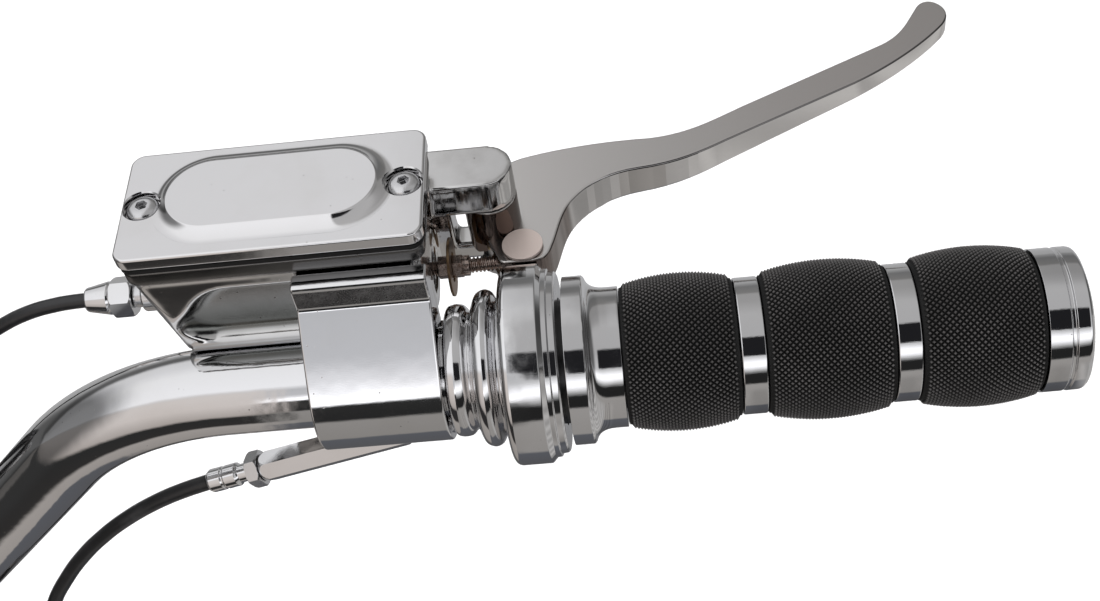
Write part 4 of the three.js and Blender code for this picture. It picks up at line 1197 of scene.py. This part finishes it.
def knurled_barrel(node):
    """Rubber barrel: a fine net of points, every other one raised, makes the diamond knurl."""
    low, high = ends(node)
    end_r, full_r, inner = 19.35, 21.75, TUBE_R + 0.3
    x0, x1 = low.x + 0.6, high.x - 0.6
    around = 2 * round(TURN * full_r / KNURL_PITCH)
    along = 2 * round((x1 - x0) / KNURL_PITCH)
    step = (x1 - x0) / along

    def radius(x):
        share = min(max((x - low.x) / (high.x - low.x), 0), 1)
        return end_r + (full_r - end_r) * math.sin(math.pi * share) ** 0.75

    rows = [x0 + (x1 - x0) * i / along for i in range(along + 1)]
    bm = bmesh.new()
    verts, edges = chain(bm, [
        (low.x, 0, inner), (low.x, 0, end_r - 0.5), (low.x + 0.2, 0, end_r - 0.2),
        *((x, 0, radius(x) - KNURL_SUNK) for x in rows),
        (high.x - 0.2, 0, end_r - 0.2), (high.x, 0, end_r - 0.5), (high.x, 0, inner)], close=True)
    bmesh.ops.spin(
        bm, geom=verts + edges, cent=(0, 0, 0), axis=X_AXIS, angle=TURN, steps=around, use_merge=True)
    closed(bm)
    # marks the raised points; the rubber's finish colours the grooves between them near black as painted
    # shade
    worn = bm.verts.layers.float.new("worn")
    net = set()
    for v in bm.verts:
        reach = math.hypot(v.co.y, v.co.z)
        if not (x0 - 1e-4 < v.co.x < x1 + 1e-4 and reach > end_r - 0.9):
            continue
        net.add(v)
        column = round((v.co.x - x0) / step)
        row = round(math.atan2(v.co.y, v.co.z) / TURN * around)
        if (column + row) % 2 and 0 < column < along:
            grown = (reach + KNURL_HIGH) / reach
            v.co.y *= grown
            v.co.z *= grown
            v[worn] = 1
    bmesh.ops.triangulate(
        bm, faces=[f for f in bm.faces if all(v in net for v in f.verts)], quad_method="SHORT_EDGE")
    return bm


for i in (1, 2, 3):
    piece(
        f"knurled_barrel_{i}", knurled_barrel(f"grip_rubber_{i}"), RUBBER, "grip",
        [f"grip_rubber_{i}"], sharp=24)


def grip_ring(node):
    """Plain band between two barrels."""
    low, high = ends(node)
    outer, inner = 19.05, TUBE_R + 0.3
    return turned(
        [(low.x, inner), (low.x, outer), (high.x, outer), (high.x, inner)], round_off=0.5, sides=128,
        segments=4)


for i in (1, 2):
    piece(
        f"grip_ring_{i}", grip_ring(f"grip_band_{i}"), CHROME, "grip", [f"grip_band_{i}"],
        sharp=50)


def grip_cap():
    """End cap: drum with one groove, then a shallow cone with a rounded nose."""
    low, high = ends("grip_end_cap")
    x = low.x
    nose = eased([(11.4, 19), (12.2, 16.8), (13, 14), (14, 8.6), (14.6, 4), (high.x - x, 0)], 5)
    profile = [
        (0, 11), (0, 19.7), (5.7, 19.7), (6.0, 19.1), (6.9, 19.1), (7.2, 19.7), (10.2, 19.65),
        (10.9, 19.45), *nose, (4.4, 0), (4.4, 11)]
    return turned([(x + u, radius) for u, radius in profile], round_off=0.14, sides=128)


piece("grip_cap", grip_cap(), CHROME, "grip", ["grip_end_cap"], sharp=34)

# ---------------------------------------------------------------- line fittings
GUIDE_LONG, ADJUSTER_LONG, NUT_LONG, FERRULE_LONG, GAP = 18, 50, 4, 14.6, 0.3
adjuster_at = GUIDE_LONG + GAP
nut_at = adjuster_at + ADJUSTER_LONG + GAP
ferrule_at = nut_at + NUT_LONG + GAP


def cable_fitting(name, blank, material, node):
    """A fitting of the throttle cable, made along +X from the cable's exit and swung into place."""
    return piece(name, swung(blank, CABLE_EXIT, CABLE_SLOPE), material, "perch", [node], sharp=32)


def bored(blank, low, high, radius=1.6):
    """A fitting with its hole for the cable."""
    return cut(blank, rod_x(low - 1, high + 1, radius, sides=40))


cable_fitting(
    "cable_guide", bored(turned(pin(0, GUIDE_LONG, 3.4), sides=56), 0, GUIDE_LONG), CHROME,
    "cable_guide_tube")
long_hex = turned([
    (adjuster_at, 0), (adjuster_at, 3.9), (adjuster_at + 3, 5.3), (nut_at - 3.5, 5.3), (nut_at - GAP, 4.2),
    (nut_at - GAP, 0)], round_off=0, sides=64)
long_hex = combined(
    long_hex, "INTERSECT", prism(hexagon(0, 0, 8.7), adjuster_at - 1, nut_at + 1, "x"))
cable_fitting(
    "cable_adjuster_body", soften(bored(long_hex, adjuster_at, nut_at), 0.2, 40, 2), CHROME,
    "cable_adjuster")
thin_nut = combined(
    turned([(nut_at, 0), (nut_at, 5.3), (nut_at + 0.5, 5.8), (nut_at + NUT_LONG - 0.5, 5.8),
            (nut_at + NUT_LONG, 5.3), (nut_at + NUT_LONG, 0)], round_off=0, sides=64),
    "INTERSECT", prism(hexagon(0, 0, 10.1, 0.3), nut_at - 1, nut_at + NUT_LONG + 1, "x"))
cable_fitting(
    "cable_lock_nut", bored(thin_nut, nut_at, nut_at + NUT_LONG, 3.2), BRIGHT_STEEL,
    "adjuster_lock_nut")
ferrule = turned([(ferrule_at + u, r) for u, r in [
    (0, 0), (0, 2.9), (3.6, 2.9), (4.1, 3.2), (4.5, 3.7), (8.4, 3.7), (8.7, 3.4), (9.3, 3.4), (9.6, 3.7),
    (13.6, 3.7), (FERRULE_LONG, 3.1), (FERRULE_LONG, 0)]], round_off=0.15, sides=64)
cable_fitting(
    "cable_sheath_ferrule", bored(ferrule, ferrule_at, ferrule_at + FERRULE_LONG), CHROME,
    "cable_ferrule")


def line_fitting(name, profile, material, node, across=None):
    """A fitting of the hydraulic line on the bore's axis, a hexagon if it has a width across flats."""
    low, high = ends(node)
    blank = turned([(low.x + u, r) for u, r in profile], BORE_Y, BORE_Z, round_off=0.18, sides=64)
    if across:
        tool = prism(hexagon(BORE_Y, BORE_Z, across, TURN / 12), low.x - 1, high.x + 1, "x")
        blank = combined(blank, "INTERSECT", tool)
    return piece(name, blank, material, "perch", [node], sharp=30)


line_fitting("outlet_fitting", [
    (0, 0), (0, 3.6), (2.6, 3.6), (2.6, 4.6), (3.2, 5), (9.8, 5), (10.7, 4.4), (10.7, 2), (19, 2), (19, 0)],
    BRIGHT_STEEL, "outlet_adapter")
line_fitting("hose_hex_nut", [
    (0, 0), (0, 5.7), (0.6, 6.3), (5.8, 6.3), (6.4, 5.7), (6.4, 0)], CHROME, "hose_nut", 10.9)
line_fitting("hose_taper_sleeve", [
    (0, 0), (0, 3.3), (0.5, 3.7), (7.2, 5.1), (8.1, 4.8), (8.1, 0)], CHROME, "hose_sleeve")

# ---------------------------------------------------------------- hidden parts keep their CAD shapes
for node, material in {
        "reservoir_diaphragm": RUBBER, "primary_cup": RUBBER, "secondary_seal": RUBBER,
        "piston": ALLOY, "return_spring": STEEL, "stop_washer": STEEL, "retaining_ring": STEEL,
        "pivot_bushing": BRONZE}.items():
    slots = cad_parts[node].data.materials
    slots.clear()
    slots.append(material)


# ---------------------------------------------------------------- studio
BACKDROP = (0.97, 0.97, 0.975)
FLOOR_TONE = (0.97, 0.97, 0.97)
# Each stretch of the room: how far round from the rider's horizon, in degrees, and how bright.
# Negative is the floor, 90 is straight up and 180 is the horizon in front of the rider.
OVER_TANK = [
    (-180, (0.4, 0.4, 0.4)), (-140, (0.5, 0.5, 0.51)), (-112, (0.1, 0.1, 0.105)),
    (-66, (0.12, 0.125, 0.14)), (-62, (0.3, 0.285, 0.27)), (-22, (0.33, 0.315, 0.3)),
    (-18, (0.025, 0.025, 0.025)), (9, (0.03, 0.03, 0.03)), (13, (1.8, 1.8, 1.84)), (17, (1.7, 1.7, 1.74)), (21, (1.02, 1.02, 1.05)),
    (26, (0.64, 0.645, 0.67)), (40, (0.6, 0.605, 0.625)), (50, (1.08, 1.08, 1.1)), (105, (1, 1, 1.01)),
    (128, (0.84, 0.84, 0.855)), (148, (0.78, 0.78, 0.79)), (158, (0.14, 0.14, 0.14)),
    (168, (0.14, 0.14, 0.14)), (180, (0.4, 0.4, 0.4))]
OVER_GRIP = [
    (-180, (0.4, 0.4, 0.4)), (-140, (0.5, 0.5, 0.51)), (-112, (0.09, 0.09, 0.095)),
    (-70, (0.12, 0.125, 0.14)), (-66, (0.34, 0.325, 0.31)), (-17, (0.38, 0.365, 0.35)),
    (-14, (0.02, 0.02, 0.02)),
    (3, (0.02, 0.02, 0.02)), (8, (0.45, 0.45, 0.45)), (16, (1.4, 1.4, 1.43)), (22, (1.5, 1.5, 1.54)),
    (32, (0.7, 0.7, 0.71)), (60, (0.5, 0.497, 0.5)), (105, (0.52, 0.515, 0.515)),
    (130, (0.4, 0.395, 0.392)),
    (146, (0.39, 0.385, 0.38)), (150, (0.24, 0.235, 0.23)), (168, (0.2, 0.2, 0.2)), (180, (0.4, 0.4, 0.4))]
OVER_BEND = [
    (-180, (0.4, 0.4, 0.4)), (-140, (0.45, 0.45, 0.45)), (-104, (0.05, 0.05, 0.05)),
    (-92, (0.34, 0.315, 0.295)),
    (-54, (0.42, 0.39, 0.365)), (-49, (0.035, 0.033, 0.032)), (-24, (0.03, 0.03, 0.03)),
    (-18, (0.5, 0.455, 0.425)), (10, (0.74, 0.68, 0.645)), (50, (0.8, 0.75, 0.72)),
    (70, (0.6, 0.565, 0.54)), (84, (0.84, 0.8, 0.775)), (112, (0.8, 0.765, 0.74)), (135, (0.86, 0.83, 0.81)),
    (148, (0.6, 0.58, 0.57)), (158, (0.1, 0.1, 0.1)), (168, (0.1, 0.1, 0.1)), (180, (0.4, 0.4, 0.4))]
CARD = (0.016, 0.016, 0.018)


def studio_world():
    """Pale room seen in the plate: brighter over the tank, warm beyond the bend, a card over the grip.

    x is how far to the right a reflection looks, from -1 to 1, and lift how far round it looks, in
    degrees, as in the stretches above.
    """
    world = bpy.data.worlds.new("studio")
    f = Finish(world)
    x, y, z = f.parts(f.node("ShaderNodeTexCoord"))
    lift = f.node("ShaderNodeMath", {"operation": "ARCTAN2"}, {0: z, 1: 0 - y}) * (180 / math.pi)
    tank, grip, bend = (
        f.node("ShaderNodeValToRGB", {"stops": [((at + 180) / 360, c) for at, c in stretch]},
               {0: (lift + 180) * (1 / 360)})
        for stretch in (OVER_TANK, OVER_GRIP, OVER_BEND))
    over_bar = (1 - x.between(-0.262, -0.238)) * (1 - lift.between(38, 52))
    colour = f.blend(over_bar, tank, bend)
    over_lid = lift.between(95, 120)
    to_grip = x.between(-0.135, -0.085) * (1 - over_lid) + x.between(-0.2, 0.02) * over_lid
    colour = f.blend(to_grip, colour, grip)
    low_edge = 43 - x.between(-0.09, -0.07) * 9
    card = (lift - low_edge).between(-1, 1.5) * (1 - lift.between(64, 67)) * x.between(-0.108, -0.1)
    colour = f.blend(card * (1 - x.between(0.5, 0.6)), colour, CARD)
    colour = f.blend((x * x).between(0.45, 0.8) * 0.8, colour, (0.04, 0.04, 0.04))
    by_floor = lift.between(-140, -125) * (1 - lift.between(-35, -22))
    colour = f.blend(by_floor * x.between(0.24, 0.36), colour, (0.46, 0.45, 0.44))
    blinds = f.node("ShaderNodeMath", {"operation": "SINE"}, {0: x * 70})
    colour = f.scaled(colour, 1 + by_floor * blinds * x.between(-0.02, 0.04) * 0.2)
    colour = f.scaled(colour, 1 - over_lid * x.between(0.08, 0.3) * 0.2)
    eye = f.node("ShaderNodeLightPath")
    seen = f.node("ShaderNodeBackground", None, {"Color": (*BACKDROP, 1)})
    lit = f.node("ShaderNodeBackground", None, {"Color": colour})
    mixed = f.node("ShaderNodeMixShader", None, {0: eye, 1: lit, 2: seen})
    f.node("ShaderNodeOutputWorld", None, {"Surface": mixed})
    bpy.context.scene.world = world


def studio_floor(drop=0.15, size=30):
    """Plain pale floor, which the plate doesn't mirror."""
    bm = bmesh.new()
    bmesh.ops.create_grid(bm, x_segments=1, y_segments=1, size=size)
    bmesh.ops.translate(bm, vec=(0, 0, cad_box[0].z - drop), verts=bm.verts)
    made = as_object(bm, "studio_floor")
    f = finish("pale_floor")
    mirrored = f.node("ShaderNodeLightPath", out="Is Glossy Ray")
    pale = f.node("ShaderNodeBsdfDiffuse", None, {"Color": (*FLOOR_TONE, 1)})
    clear = f.node("ShaderNodeBsdfTransparent")
    f.node("ShaderNodeOutputMaterial", None, {
        "Surface": f.node("ShaderNodeMixShader", None, {0: mirrored, 1: pale, 2: clear})})
    made.data.materials.append(f.owner)


def soft_light(name, place, target, size, power):
    """A round soft light that lights the rubber and isn't mirrored in the plate."""
    data = bpy.data.lights.new(name, "AREA")
    data.shape = "DISK"
    data.size = size
    data.energy = power
    made = bpy.data.objects.new(name, data)
    aim = (Vector(target) - Vector(place)).to_track_quat("-Z", "Y").to_matrix().to_4x4()
    made.matrix_world = Matrix.Translation(place) @ aim
    made.visible_glossy = False
    made.visible_camera = False
    bpy.context.scene.collection.objects.link(made)


studio_world()
studio_floor()
soft_light("key", (-0.7, -0.5, 1.6), (0, 0, 0), 1.5, 24)
soft_light("fill", (0.9, 0.4, 1.4), (0.05, 0, 0), 1.4, 16)
bpy.context.scene.view_settings.view_transform = "Standard"
